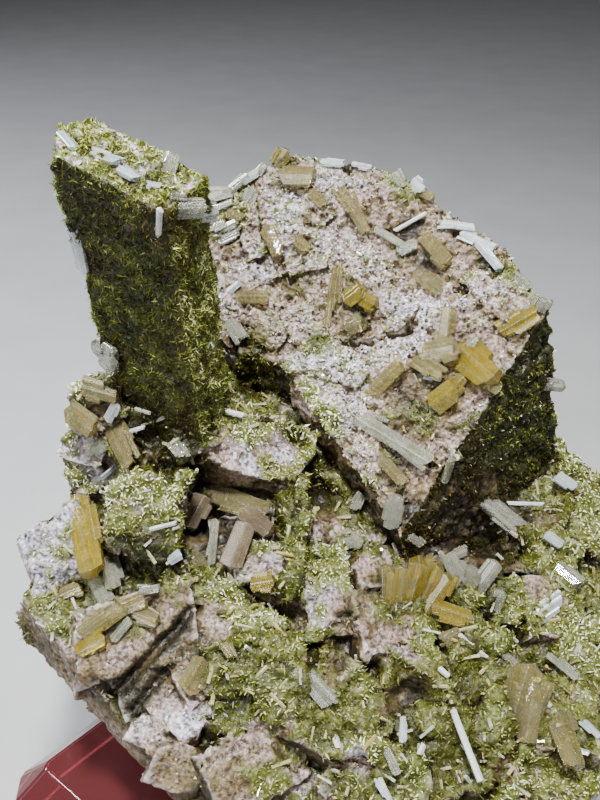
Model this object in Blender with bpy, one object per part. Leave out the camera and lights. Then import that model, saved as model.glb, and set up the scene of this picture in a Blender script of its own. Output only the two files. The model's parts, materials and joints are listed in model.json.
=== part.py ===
# A rough epidote specimen: blocky feldspar crystals grown together and coated with fine epidote,
# with small clear blades and needles on them, resting on a bevelled block of red acrylic.
# The tables hold millimetres in the specimen's own frame: x to the right, y to the back and z up,
# from the point that the photograph looks at. MM turns them into metres.

import math
import random

import bmesh
import bpy
from mathutils import Matrix, Vector, noise
from mathutils.bvhtree import BVHTree

MM = 0.001

# The stand: a square block, turned so that one corner shows at the left of the specimen
STAND_SIDE = 45.0
STAND_HEIGHT = 14.0
STAND_BEVEL = 3.4
STAND_CORNER_RADIUS_CUT = 2.6
STAND_TURN = -41.4
STAND_CENTRE = (0.4, -14.6)
STAND_TOP = -34.0
REST_GAP = 0.3

# How the photograph sees the specimen: the eye, its tilt and its focal length in pixels
VIEW_DISTANCE = 100.0
VIEW_ELEVATION = 30.0
VIEW_FOCAL_PX = 1000.0
PHOTO_CENTRE_PX = (300.0, 400.0)

# The rock core that carries everything, and the broken faces that trim it: (a point, outward normal)
CORE_CENTRE = (2.0, -9.0, -18.0)
CORE_RADII = (37.0, 30.0, 24.0)
CORE_BUMPS = 2.2
CORE_CUTS = (
    ((0.0, -18.0, -17.2), (0.02, -0.63, 0.777)),
    ((8.0, -9.0, -12.6), (0.25, -0.45, 0.857)),
    ((-21.7, -18.0, -17.0), (-0.68, -0.72, -0.10)),
    ((-22.0, -17.6, -22.5), (-0.55, -0.30, -0.78)),
    ((0.0, -34.0, -24.0), (0.05, -0.95, 0.1)),
    ((0.0, -31.0, -31.0), (0.0, -0.62, -0.78)),
    ((32.0, -12.0, -16.0), (0.97, -0.10, 0.15)),
    ((27.0, -10.0, -30.0), (0.62, 0.05, -0.78)),
    ((-23.6, -4.0, -12.0), (-0.92, 0.25, 0.25)),
    ((0.0, 17.5, -12.0), (0.05, 0.98, 0.1)),
    ((0.0, 13.0, -30.0), (0.05, 0.65, -0.75)),
    ((0.0, 4.0, -1.0), (0.0, -0.05, 1.0)),
)

# The tall crystal on the left: its outline across, the middle of its foot and top, how much the
# outline shrinks towards the foot, and the plane that cuts the top: (a point from TALL_TOP, normal)
TALL_OUTLINE = ((-6.0, -1.5), (3.2, -5.8), (6.0, 1.5), (-3.2, 5.8), (-5.5, 2.8))
TALL_FOOT = (-11.7, -1.4, -5.0)
TALL_TOP = (-13.6, -8.0, 26.3)
TALL_FOOT_SCALE = 0.82
TALL_CUTS = (
    ((0.0, 0.0, 0.0), (0.342, -0.228, 1.0)),
    ((-5.6, -1.4, 1.0), (-0.80, -0.30, 0.55)),
)

# The great block on the right: the outline of its inclined face, in millimetres across and up the
# face from its lowest tip, and the direction in which it runs down into the rock
FACE_TIP = (9.7, -9.0, -10.3)
FACE_ELEVATION = 38.0
FACE_TURN = 12.0
BLOCK_RUN = (4.0, 2.0, -20.0)
BACK_SLAB_DROP = 1.1
BACK_SLAB = (
    (-23.7, 33.6), (-20.2, 36.6), (-16.4, 38.6), (-9.0, 38.0), (-1.8, 36.4), (0.4, 34.0),
    (3.8, 31.8), (7.4, 30.2), (9.2, 27.4), (11.7, 24.0), (3.0, 8.0), (-9.0, 13.0),
    (-15.5, 16.6), (-20.0, 17.2), (-24.5, 21.5), (-25.5, 28.0),
)
FRONT_SLAB = (
    (-13.8, 15.6), (-11.4, 18.9), (-5.5, 19.6), (1.5, 23.2), (7.4, 27.2), (12.0, 24.3), (0.0, 0.0),
)

# Feldspar blocks on the front: name, where the photograph shows the middle of the block, its
# length, width and depth, the picture angle of its length, how far it is tipped about its length
# and about its width, all in degrees, and how far it stands out of the core
FRONT_BLOCKS = (
    ("middle_block", (242, 460), (11.5, 7.6, 9.0), -14, (4, 8), 3.8),
    ("mossy_lump", (145, 530), (7.4, 8.6, 9.0), -8, (26, -4), 4.4),
    ("recess_block", (236, 545), (6.5, 5.0, 5.0), 12, (0, 0), 1.2),
    ("foot_lump_left", (134, 452), (6.0, 6.0, 8.0), -14, (24, -6), 6.0),
    ("foot_lump_right", (186, 450), (6.6, 6.4, 8.0), 24, (20, 4), 6.6),
    ("left_slab", (56, 552), (7.4, 6.0, 3.0), 32, (8, -12), 1.0),
    ("left_shoulder", (94, 474), (6.0, 6.0, 5.0), 20, (14, -12), 1.8),
    ("left_lump_back", (106, 440), (5.6, 5.0, 12.0), 10, (30, -6), 7.4),
    ("left_lump", (88, 452), (5.6, 5.0, 9.0), -20, (20, -16), 3.8),
    ("yellow_ledge", (130, 642), (11.6, 7.0, 5.0), 16, (4, -6), 2.2),
    ("pink_slab", (203, 660), (7.6, 7.0, 6.0), 40, (0, 6), 2.2),
    ("pink_block_a", (142, 690), (5.6, 4.0, 4.5), 35, (5, -6), 1.6),
    ("pink_block_b", (172, 710), (4.4, 4.0, 4.0), 35, (0, 5), 1.4),
    ("pale_rib", (198, 714), (6.4, 2.6, 4.0), 60, (0, 0), 2.0),
    ("lilac_block", (152, 735), (4.4, 3.4, 4.0), -30, (0, 0), 1.2),
    ("pink_block_low", (176, 770), (5.0, 4.2, 4.5), -20, (5, 0), 1.8),
    ("moss_band_left", (190, 590), (5.6, 3.6, 4.5), -5, (12, 0), 2.2),
    ("moss_band_right", (240, 612), (7.5, 3.4, 4.5), -42, (8, 0), 2.0),
    ("pale_block_middle", (258, 570), (5.4, 4.0, 5.0), 8, (10, 5), 2.4),
    ("moss_rib", (294, 548), (2.3, 12.5, 6.0), -4, (4, 10), 3.2),
    ("pink_face", (262, 632), (5.0, 4.0, 4.0), -50, (0, 0), 0.9),
    ("sugar_slope", (322, 600), (5.0, 9.0, 5.0), 8, (0, -8), 1.6),
    ("centre_upper", (366, 576), (4.2, 4.6, 5.0), 15, (-8, 8), 2.2),
    ("centre_block", (375, 630), (5.6, 6.4, 6.0), 20, (0, 6), 2.0),
    ("under_tip", (352, 545), (5.5, 2.6, 4.0), -6, (0, 0), 1.0),
    ("crystal_seat", (425, 618), (9.5, 5.5, 5.5), -14, (14, 0), 2.2),
    ("fan_seat", (478, 604), (7.0, 5.0, 5.0), -10, (10, 0), 1.8),
    ("right_lump_a", (535, 566), (6.5, 5.0, 5.0), -12, (16, 4), 2.6),
    ("right_lump_b", (578, 532), (6.0, 6.5, 6.0), -30, (16, 8), 3.2),
    ("right_lump_c", (545, 616), (7.0, 6.0, 5.0), 10, (8, 0), 2.0),
    ("right_shoulder", (574, 486), (4.0, 3.6, 4.0), -30, (10, 10), 1.6),
    ("right_front", (585, 655), (7.0, 8.0, 6.0), -35, (6, 6), 2.0),
    ("lower_lump_a", (250, 692), (9.6, 8.0, 7.0), 12, (14, -8), 3.2),
    ("lower_lump_b", (335, 715), (9.0, 8.5, 7.0), -28, (-8, 12), 2.6),
    ("lower_lump_c", (412, 690), (6.4, 8.0, 6.0), 24, (10, -12), 2.0),
    ("lower_lump_d", (474, 675), (7.6, 8.0, 6.0), -36, (14, 10), 2.2),
    ("lower_lump_e", (540, 715), (8.5, 8.5, 6.0), -14, (-6, -14), 2.4),
    ("lower_lump_f", (455, 755), (9.5, 8.0, 6.0), 18, (12, 8), 2.4),
    ("lower_lump_g", (250, 772), (9.0, 7.0, 6.0), 34, (8, 10), 2.0),
    ("lower_lump_h", (365, 788), (9.0, 7.5, 6.0), -16, (14, -10), 2.2),
    ("lower_lump_i", (545, 785), (9.0, 7.5, 6.0), -20, (0, 6), 1.8),
)

# Blocks that finish the sides which the photograph doesn't show
HIDDEN_BLOCKS = ((42, (4.5, 10.5)), (40, (2.8, 5.6)))
HIDDEN_SEED = 41

# Clear blades and prisms: where the photograph shows the middle, the length and width, the picture
# angle of the length in degrees and the rise of its tip off the surface
BLADES = (
    ("tan_needle_top", (353, 210), 7.0, 1.3, -60, 6),
    ("pale_needle_top", (394, 240), 5.4, 1.0, -32, 6),
    ("tan_patch_top", (297, 178), 4.6, 2.6, -4, 8),
    ("tan_blade_left", (273, 242), 4.2, 1.9, -66, 6),
    ("tan_bar_left", (252, 298), 4.6, 1.7, -4, 14),
    ("thin_yellow_blade", (335, 292), 6.0, 1.1, 80, 16),
    ("amber_knot", (354, 296), 2.8, 2.2, 30, 20),
    ("olive_prism", (436, 288), 6.2, 1.6, -36, 12),
    ("gold_prism_right", (518, 322), 4.8, 1.7, 28, 10),
    ("gold_prism_low", (386, 380), 5.4, 1.9, 44, 18),
    ("amber_block", (444, 398), 3.8, 2.8, 34, 26),
    ("amber_blade", (478, 364), 6.2, 2.6, -44, 22),
    ("amber_blade_back", (446, 348), 4.4, 2.0, -70, 14),
    ("long_pale_blade", (394, 440), 10.0, 1.9, -32, 10),
    ("tan_blade_low", (392, 470), 4.2, 1.4, -48, 12),
    ("pale_blade_tip", (447, 470), 3.6, 1.2, 86, 14),
    ("clear_tip_blade", (394, 512), 4.2, 1.8, 78, 18),
    ("gold_blade_left", (86, 535), 10.0, 2.8, -70, 12),
    ("clear_blade_left", (110, 566), 5.4, 1.8, -78, 12),
    ("dark_edged_blade", (118, 443), 6.4, 1.6, -58, 16),
    ("foot_prism", (178, 448), 2.4, 1.2, -62, 20),
    ("clear_blade_middle", (240, 503), 7.6, 2.5, -25, 16),
    ("tan_prism_middle", (201, 563), 4.2, 1.4, -48, 26),
    ("yellow_knot_middle", (262, 583), 2.8, 1.8, 10, 20),
    ("hero_blade_a", (386, 592), 6.0, 1.5, 106, 30),
    ("hero_blade_b", (399, 590), 5.8, 1.9, 96, 36),
    ("hero_blade_c", (413, 586), 6.4, 2.5, 88, 42),
    ("hero_blade_d", (427, 586), 5.8, 2.2, 76, 38),
    ("hero_blade_e", (437, 594), 4.8, 1.9, 62, 32),
    ("hero_blade_f", (450, 612), 4.8, 1.8, -22, 14),
    ("fan_blade_a", (458, 574), 5.0, 1.8, 124, 30),
    ("fan_blade_b", (470, 580), 3.6, 1.4, 100, 34),
    ("fan_blade_c", (486, 578), 4.4, 1.7, 62, 32),
    ("green_prism", (514, 525), 9.0, 2.4, -40, 5),
    ("striped_prism", (567, 576), 3.4, 1.7, -50, 20),
    ("pale_blade_right", (562, 667), 4.4, 0.9, -46, 14),
    ("honey_prism", (518, 700), 7.6, 4.0, 75, 16),
    ("honey_blade", (566, 738), 7.0, 2.0, -76, 12),
    ("right_edge_prism", (549, 384), 3.6, 1.5, 8, 30),
    ("tall_side_blade", (80, 250), 4.4, 1.4, -70, 12),
    ("tall_top_blade", (168, 172), 3.4, 1.5, 62, 34),
    ("tall_notch_blade", (185, 208), 4.0, 2.0, 14, 26),
    ("left_back_blade", (108, 356), 4.6, 2.4, -10, 30),
    ("block_top_knob", (283, 158), 2.4, 2.0, 40, 30),
    ("block_left_prism", (226, 228), 3.4, 1.2, 16, 20),
    ("needle_on_tall", (159, 224), 3.2, 0.62, 86, 24),
    ("needle_on_middle", (230, 413), 3.0, 0.66, -20, 14),
    ("needle_left", (135, 430), 2.6, 0.50, 16, 18),
    ("needle_on_lump", (163, 526), 3.4, 0.50, 16, 14),
    ("needle_right", (525, 504), 4.4, 0.50, -10, 18),
    ("needle_low", (466, 745), 7.0, 0.70, -72, 12),
    ("tan_blade_rim", (436, 250), 4.8, 1.8, -50, 12),
    ("icy_plate_rim", (487, 250), 3.2, 2.0, -48, 10),
    ("gold_prism_back", (448, 322), 3.6, 2.0, 84, 14),
    ("gold_bar", (438, 350), 4.0, 2.2, 8, 14),
    ("gold_edge", (428, 368), 4.2, 1.4, -36, 24),
    ("gold_slab_left", (104, 622), 5.2, 1.8, 34, 10),
    ("gold_slab_ledge", (128, 608), 4.4, 1.6, 20, 12),
    ("icy_pillar_middle", (212, 548), 5.4, 1.4, 84, 8),
    ("clear_slab_middle", (236, 548), 5.8, 2.4, 70, 8),
    ("clear_blade_low", (312, 688), 5.0, 1.6, -52, 8),
)


def new_object(name, mesh, collection):
    item = bpy.data.objects.new(name, mesh)
    collection.objects.link(item)
    return item


def collection_named(name):
    made = bpy.data.collections.new(name)
    bpy.context.scene.collection.children.link(made)
    return made


def mesh_from(bm, name):
    """The bmesh as a mesh with its faces pointing out."""
    bmesh.ops.remove_doubles(bm, verts=bm.verts, dist=0.00002)
    bmesh.ops.recalc_face_normals(bm, faces=bm.faces)
    mesh = bpy.data.meshes.new(name)
    bm.to_mesh(mesh)
    bm.free()
    return mesh


def trim(bm, point, normal):
    """Cuts away what lies beyond a plane and closes the cut with a flat face."""
    geometry = bm.verts[:] + bm.edges[:] + bm.faces[:]
    cut = bmesh.ops.bisect_plane(
        bm, geom=geometry, dist=0.000001, plane_co=point, plane_no=normal, clear_outer=True
    )
    edges = [item for item in cut["geom_cut"] if isinstance(item, bmesh.types.BMEdge)]
    if edges:
        bmesh.ops.contextual_create(bm, geom=edges)


def material(name, colour, roughness):
    made = bpy.data.materials.new(name)
    made.use_nodes = True
    shader = made.node_tree.nodes["Principled BSDF"]
    shader.inputs["Base Color"].default_value = (*colour, 1.0)
    shader.inputs["Roughness"].default_value = roughness
    shader.inputs["Metallic"].default_value = 0.0
    return made


def sight_line(pixel):
    """The eye and the direction in which it sees a pixel, in the specimen's frame."""
    tilt = math.radians(VIEW_ELEVATION)
    forward = Vector((0, math.cos(tilt), -math.sin(tilt)))
    up = Vector((0, math.sin(tilt), math.cos(tilt)))
    across = (pixel[0] - PHOTO_CENTRE_PX[0]) / VIEW_FOCAL_PX
    rise = (PHOTO_CENTRE_PX[1] - pixel[1]) / VIEW_FOCAL_PX
    direction = forward + Vector((across, 0, 0)) + up * rise
    return -forward * VIEW_DISTANCE * MM, direction.normalized(), up


def core_mesh():
    """A rough ball of rock, trimmed by its broken faces."""
    bm = bmesh.new()
    bmesh.ops.create_icosphere(bm, subdivisions=4, radius=1.0)
    centre = Vector(CORE_CENTRE)
    for vert in bm.verts:
        shape = Vector(a * b for a, b in zip(vert.co, CORE_RADII))
        bump = noise.cell(vert.co * 2.6) - 0.5 + noise.noise(vert.co * 2.1)
        vert.co = (centre + shape + vert.co.normalized() * bump * CORE_BUMPS) * MM
    for point, normal in CORE_CUTS:
        trim(bm, Vector(point) * MM, Vector(normal))
    trim(bm, Vector((0, 0, STAND_TOP + REST_GAP)) * MM, Vector((0, 0, -1)))
    return mesh_from(bm, "core")


def feldspar_mesh(name, size, place, seed):
    """A leaning feldspar block with some corners broken off, its top face at the place's origin."""
    chance = random.Random(seed)
    bm = bmesh.new()
    bmesh.ops.create_cube(bm, size=1.0)
    lean = Matrix(((1, 0.08, 0.16, 0), (0, 1, 0.10, 0), (0, 0, 1, 0), (0, 0, 0, 1)))
    bmesh.ops.transform(bm, matrix=lean, verts=bm.verts)
    for _ in range(4):
        corner = Vector(chance.choice((-1, 1)) * chance.uniform(0.5, 1.0) for _ in range(3))
        corner.normalize()
        trim(bm, corner * chance.uniform(0.60, 0.70), corner)
    bmesh.ops.translate(bm, vec=(0, 0, -0.5), verts=bm.verts)
    bmesh.ops.transform(
        bm, matrix=place @ Matrix.Diagonal((*[s * MM for s in size], 1.0)), verts=bm.verts
    )
    return mesh_from(bm, name)


def tall_crystal_mesh():
    """The tall crystal, from its foot in the rock to its oblique top."""
    foot, top = Vector(TALL_FOOT), Vector(TALL_TOP)
    above = top + (top - foot) * 0.25
    bm = bmesh.new()
    low = [bm.verts.new((foot + Vector((x, y, 0)) * TALL_FOOT_SCALE) * MM) for x, y in TALL_OUTLINE]
    high = [bm.verts.new((above + Vector((x, y, 0))) * MM) for x, y in TALL_OUTLINE]
    bm.faces.new(low)
    bm.faces.new(high)
    for number in range(len(low)):
        bm.faces.new((low[number - 1], low[number], high[number], high[number - 1]))
    for point, normal in TALL_CUTS:
        trim(bm, (top + Vector(point)) * MM, Vector(normal))
    return mesh_from(bm, "tall_crystal")


def face_frame():
    """The great block's face: a matrix whose x runs across it, y up it and z out of it."""
    turn, rise = math.radians(FACE_TURN), math.radians(FACE_ELEVATION)
    across = Vector((math.cos(turn), -math.sin(turn), 0))
    outward = Vector(
        (-math.sin(turn) * math.cos(rise), -math.cos(turn) * math.cos(rise), math.sin(rise))
    )
    up = outward.cross(across)
    frame = Matrix((across, up, outward)).transposed().to_4x4()
    return Matrix.Translation(Vector(FACE_TIP)) @ frame


def slab_mesh(name, outline, drop):
    """A slab of the great block: its face outline, run down obliquely into the rock."""
    frame = face_frame()
    bm = bmesh.new()
    face = bm.faces.new([bm.verts.new(frame @ Vector((x, y, -drop)) * MM) for x, y in outline])
    run = bmesh.ops.extrude_face_region(bm, geom=[face])
    moved = [item for item in run["geom"] if isinstance(item, bmesh.types.BMVert)]
    bmesh.ops.translate(bm, vec=Vector(BLOCK_RUN) * MM, verts=moved)
    return mesh_from(bm, name)


def surface_of(items):
    """The outer surface of several objects, for finding seats on it."""
    bm = bmesh.new()
    for item in items:
        bm.from_mesh(item.data)
    tree = BVHTree.FromBMesh(bm)
    bm.free()
    return tree


def seat_on(tree, pixel, angle, as_pictured=False):
    """Where a sight line meets the surface: x along the picture angle, y beside it, z outward.

    x is the picture's direction dropped onto the surface, or, as pictured, the direction in the
    surface that looks just like it from the photograph's viewpoint."""
    eye, direction, up = sight_line(pixel)
    spot, normal, _, _ = tree.ray_cast(eye, direction)
    right = Vector((1, 0, 0))
    along = right * math.cos(math.radians(angle)) + up * math.sin(math.radians(angle))
    if as_pictured:
        along = normal.cross(direction.cross(along)).normalized()
    else:
        along = (along - normal * along.dot(normal)).normalized()
    axes = Matrix((along, normal.cross(along).normalized(), normal)).transposed()
    return Matrix.Translation(spot) @ axes.to_4x4()


def turned(axis, degrees):
    return Matrix.Rotation(math.radians(degrees), 4, axis)


def front_blocks(tree, cutters):
    made = []
    for number, (name, pixel, size, angle, tips, proud) in enumerate(FRONT_BLOCKS):
        seat = seat_on(tree, pixel, angle) @ Matrix.Translation((0, 0, proud * MM))
        place = seat @ turned("X", tips[0]) @ turned("Y", tips[1])
        made.append(new_object(name, feldspar_mesh(name, size, place, number + 1), cutters))
    return made


def blade_mesh(name, length, width, thickness):
    """A flat six-sided blade along x with a blunt wedge at each end."""
    bm = bmesh.new()
    bmesh.ops.create_cone(
        bm, cap_ends=True, segments=6, radius1=0.5, radius2=0.5, depth=1.0,
        matrix=Matrix.Rotation(math.radians(90), 4, "Y"),
    )
    bmesh.ops.scale(bm, vec=(length * MM, width * MM, thickness * MM), verts=bm.verts)
    for side in (-1, 1):
        trim(bm, Vector((side * length * 0.44 * MM, 0, 0)), Vector((side, 0.35, 0.45 * side)))
    return mesh_from(bm, name)


def blades(tree, cutters):
    made = []
    for name, pixel, length, width, angle, rise in BLADES:
        thickness = width if width < 0.8 else width * 0.55
        mesh = blade_mesh(name, length, width, thickness)
        lift = Matrix.Translation((0, 0, 0.12 * width * MM))
        mesh.transform(seat_on(tree, pixel, angle, True) @ lift @ turned("Y", -rise))
        made.append(new_object(name, mesh, cutters))
    return made


def is_hidden(tree, spot, radius):
    """Whether the photograph can't show any of a ball, behind the rock or outside the picture."""
    eye, middle, up = sight_line(PHOTO_CENTRE_PX)
    offset = spot - eye
    depth = offset.dot(middle.normalized())
    across = offset.x / depth * VIEW_FOCAL_PX
    rise = offset.dot(up) / depth * VIEW_FOCAL_PX
    margin = radius / depth * VIEW_FOCAL_PX
    if abs(across) - margin > PHOTO_CENTRE_PX[0] or abs(rise) - margin > PHOTO_CENTRE_PX[1]:
        return True
    right = Vector((1, 0, 0))
    for step in (right * 0, right, -right, up, -up):
        target = offset + step * radius
        hit, _, _, distance = tree.ray_cast(eye, target.normalized())
        if hit is None or distance > target.length - radius:
            return False
    return True


def hidden_blocks(tree, cutters):
    """Blocks over the back, the sides and the overhangs, by rule."""
    chance = random.Random(HIDDEN_SEED)
    centre = Vector(CORE_CENTRE) * MM
    wanted = [sizes for count, sizes in HIDDEN_BLOCKS for _ in range(count)]
    made = []
    while len(made) < len(wanted):
        angle = chance.uniform(0, math.tau)
        height = chance.uniform(-0.5, 0.7)
        flat = math.sqrt(1 - height * height)
        direction = Vector((math.cos(angle) * flat, math.sin(angle) * flat, height))
        size = sorted(chance.uniform(*wanted[len(made)]) for _ in range(3))
        spot, normal, _, _ = tree.ray_cast(centre + direction * 0.12, -direction)
        floor = (STAND_TOP + REST_GAP + 1.0 + size[2] * 0.6) * MM
        if spot is None or spot.z < floor or not is_hidden(tree, spot, size[2] * 0.6 * MM):
            continue
        axes = normal.to_track_quat("Z", "Y").to_matrix().to_4x4()
        proud = size[2] * chance.uniform(0.14, 0.30)
        seat = Matrix.Translation(spot + normal * proud * MM) @ axes
        lean = turned("X", chance.gauss(0, 9)) @ turned("Y", chance.gauss(0, 9))
        place = seat @ turned("Z", chance.gauss(30, 12)) @ lean
        name = f"hidden_block_{len(made) + 1}"
        mesh = feldspar_mesh(name, (size[2], size[1], size[0]), place, HIDDEN_SEED + len(made))
        made.append(new_object(name, mesh, cutters))
    return made


def join_to(base, cutters):
    """Grows every piece in the collection onto the base, in one Boolean union."""
    for item in cutters.objects:
        item.hide_render = True
        item.display_type = "WIRE"
    union = base.modifiers.new("join", "BOOLEAN")
    union.operation = "UNION"
    union.solver = "EXACT"
    union.operand_type = "COLLECTION"
    union.collection = cutters
    joined = base.evaluated_get(bpy.context.evaluated_depsgraph_get())
    mesh = bpy.data.meshes.new_from_object(joined)
    base.modifiers.remove(union)
    keep_outer_shell(mesh)
    base.data = mesh


def keep_outer_shell(mesh):
    """Fills the pockets that crossing blocks close off: only the shell round the top vertex stays."""
    bm = bmesh.new()
    bm.from_mesh(mesh)
    reached = {max(bm.verts, key=lambda vert: vert.co.z)}
    edge_of_reach = list(reached)
    while edge_of_reach:
        for edge in edge_of_reach.pop().link_edges:
            for vert in edge.verts:
                if vert not in reached:
                    reached.add(vert)
                    edge_of_reach.append(vert)
    pockets = [vert for vert in bm.verts if vert not in reached]
    bmesh.ops.delete(bm, geom=pockets, context="VERTS")
    bm.to_mesh(mesh)
    bm.free()


def cluster(parts, cutters):
    base = new_object("epidote_cluster", core_mesh(), parts)
    base.data.materials.append(material("epidote_on_feldspar", (0.50, 0.50, 0.30), 0.75))
    grown = [
        new_object("tall_crystal", tall_crystal_mesh(), cutters),
        new_object("back_slab", slab_mesh("back_slab", BACK_SLAB, BACK_SLAB_DROP), cutters),
        new_object("front_slab", slab_mesh("front_slab", FRONT_SLAB, 0.0), cutters),
    ]
    rock = surface_of([base, *grown])
    grown += front_blocks(surface_of([base]), cutters)
    grown += hidden_blocks(rock, cutters)
    grown += blades(surface_of([base, *grown]), cutters)
    join_to(base, cutters)
    return base


def stand(parts):
    """The bevelled acrylic block, with its upright corners cut off."""
    bm = bmesh.new()
    bmesh.ops.create_cube(bm, size=1.0)
    bmesh.ops.scale(bm, vec=(STAND_SIDE * MM, STAND_SIDE * MM, STAND_HEIGHT * MM), verts=bm.verts)
    bmesh.ops.translate(bm, vec=(0, 0, STAND_HEIGHT * MM / 2), verts=bm.verts)
    upright = [e for e in bm.edges if abs(e.verts[0].co.z - e.verts[1].co.z) > MM]
    bmesh.ops.bevel(bm, geom=upright, offset=STAND_CORNER_RADIUS_CUT * MM, segments=1, affect="EDGES")
    top = [e for e in bm.edges if all(v.co.z > (STAND_HEIGHT - 0.1) * MM for v in e.verts)]
    bmesh.ops.bevel(bm, geom=top, offset=STAND_BEVEL * MM, segments=1, affect="EDGES")
    item = new_object("stand", mesh_from(bm, "stand"), parts)
    item.data.materials.append(material("red_acrylic", (0.42, 0.03, 0.03), 0.06))
    item.rotation_euler.z = math.radians(STAND_TURN)
    return item


def main():
    for item in list(bpy.data.objects):
        bpy.data.objects.remove(item)
    parts = collection_named("epidote_specimen")
    cutters = collection_named("grown_on_pieces")
    stand(parts)
    base = cluster(parts, cutters)
    seat = bpy.data.objects.new("specimen_seat", None)
    parts.objects.link(seat)
    rise = STAND_HEIGHT - STAND_TOP
    seat.location = Vector((-STAND_CENTRE[0], -STAND_CENTRE[1], rise)) * MM
    base.parent = seat
    for item in cutters.objects:
        item.parent = seat


main()
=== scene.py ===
import json
import math
import random

import bmesh
import bpy
import numpy as np
from mathutils import Matrix, Vector, noise
from mathutils.bvhtree import BVHTree

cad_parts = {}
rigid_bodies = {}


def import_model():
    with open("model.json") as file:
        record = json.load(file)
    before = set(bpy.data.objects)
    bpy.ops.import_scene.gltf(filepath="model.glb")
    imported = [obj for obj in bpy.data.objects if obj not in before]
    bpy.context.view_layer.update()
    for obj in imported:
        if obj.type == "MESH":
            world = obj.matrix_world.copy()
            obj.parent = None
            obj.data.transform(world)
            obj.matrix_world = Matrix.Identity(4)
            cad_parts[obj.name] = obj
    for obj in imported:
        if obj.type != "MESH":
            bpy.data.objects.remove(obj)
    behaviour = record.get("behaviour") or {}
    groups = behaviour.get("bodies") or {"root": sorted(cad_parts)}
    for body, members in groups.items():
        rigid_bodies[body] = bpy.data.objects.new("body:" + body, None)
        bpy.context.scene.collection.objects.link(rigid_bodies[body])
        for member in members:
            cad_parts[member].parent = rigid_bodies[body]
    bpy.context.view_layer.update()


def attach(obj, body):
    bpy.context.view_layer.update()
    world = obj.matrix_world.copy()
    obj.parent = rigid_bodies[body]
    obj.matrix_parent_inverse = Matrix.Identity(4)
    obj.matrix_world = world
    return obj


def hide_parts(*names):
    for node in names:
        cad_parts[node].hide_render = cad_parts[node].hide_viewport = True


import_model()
mm = 0.001

# The camera in mm and degrees, and the middle of the photograph, whose pixels give the places below
view = {
    "distance": 100.0, "elevation": 30.0, "lens": 45.0, "sensor": 36.0, "clipStart": 5.0,
    "focalPx": 1000.0, "centrePx": (300.0, 400.0),
}

stand = {
    "side": 45.0, "height": 14.0, "bevel": 3.4, "cornerCut": 2.6, "turn": -41.4,
    "centre": (0.4, -14.6), "top": -34.0, "gap": 0.3, "softEdge": 0.28,
}

core = {
    "centre": (2.0, -9.0, -18.0), "radii": (37.0, 30.0, 24.0), "bumps": 2.2,
    "cuts": (
        ((0.0, -18.0, -17.2), (0.02, -0.63, 0.777)),
        ((8.0, -9.0, -12.6), (0.25, -0.45, 0.857)),
        ((-21.7, -18.0, -17.0), (-0.68, -0.72, -0.10)),
        ((-22.0, -17.6, -22.5), (-0.55, -0.30, -0.78)),
        ((0.0, -34.0, -24.0), (0.05, -0.95, 0.1)),
        ((0.0, -31.0, -31.0), (0.0, -0.62, -0.78)),
        ((32.0, -12.0, -16.0), (0.97, -0.10, 0.15)),
        ((27.0, -10.0, -30.0), (0.62, 0.05, -0.78)),
        ((-23.6, -4.0, -12.0), (-0.92, 0.25, 0.25)),
        ((0.0, 17.5, -12.0), (0.05, 0.98, 0.1)),
        ((0.0, 13.0, -30.0), (0.05, 0.65, -0.75)),
        ((0.0, 4.0, -1.0), (0.0, -0.05, 1.0)),
    ),
}

tall = {
    "outline": ((-6.0, -1.5), (3.2, -5.8), (6.0, 1.5), (-3.2, 5.8), (-5.5, 2.8)),
    "foot": (-11.7, -1.4, -5.0), "top": (-13.6, -8.0, 26.3), "footScale": 0.82,
    "cuts": (((0.0, 0.0, 0.0), (0.342, -0.228, 1.0)), ((-5.6, -1.4, 1.0), (-0.80, -0.30, 0.55))),
}

greatBlock = {
    "tip": (9.7, -9.0, -10.3), "elevation": 38.0, "turn": 12.0, "run": (4.0, 2.0, -20.0), "drop": 1.1,
    "back": (
        (-23.7, 33.6), (-20.2, 36.6), (-16.4, 38.6), (-9.0, 38.0), (-1.8, 36.4), (0.4, 34.0),
        (3.8, 31.8), (7.4, 30.2), (9.2, 27.4), (11.7, 24.0), (3.0, 8.0), (-9.0, 13.0),
        (-15.5, 16.6), (-20.0, 17.2), (-24.5, 21.5), (-25.5, 28.0),
    ),
    "front": (
        (-13.8, 15.6), (-11.4, 18.9), (-5.5, 19.6), (1.5, 23.2), (7.4, 27.2), (12.0, 24.3), (0.0, 0.0),
    ),
}

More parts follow.
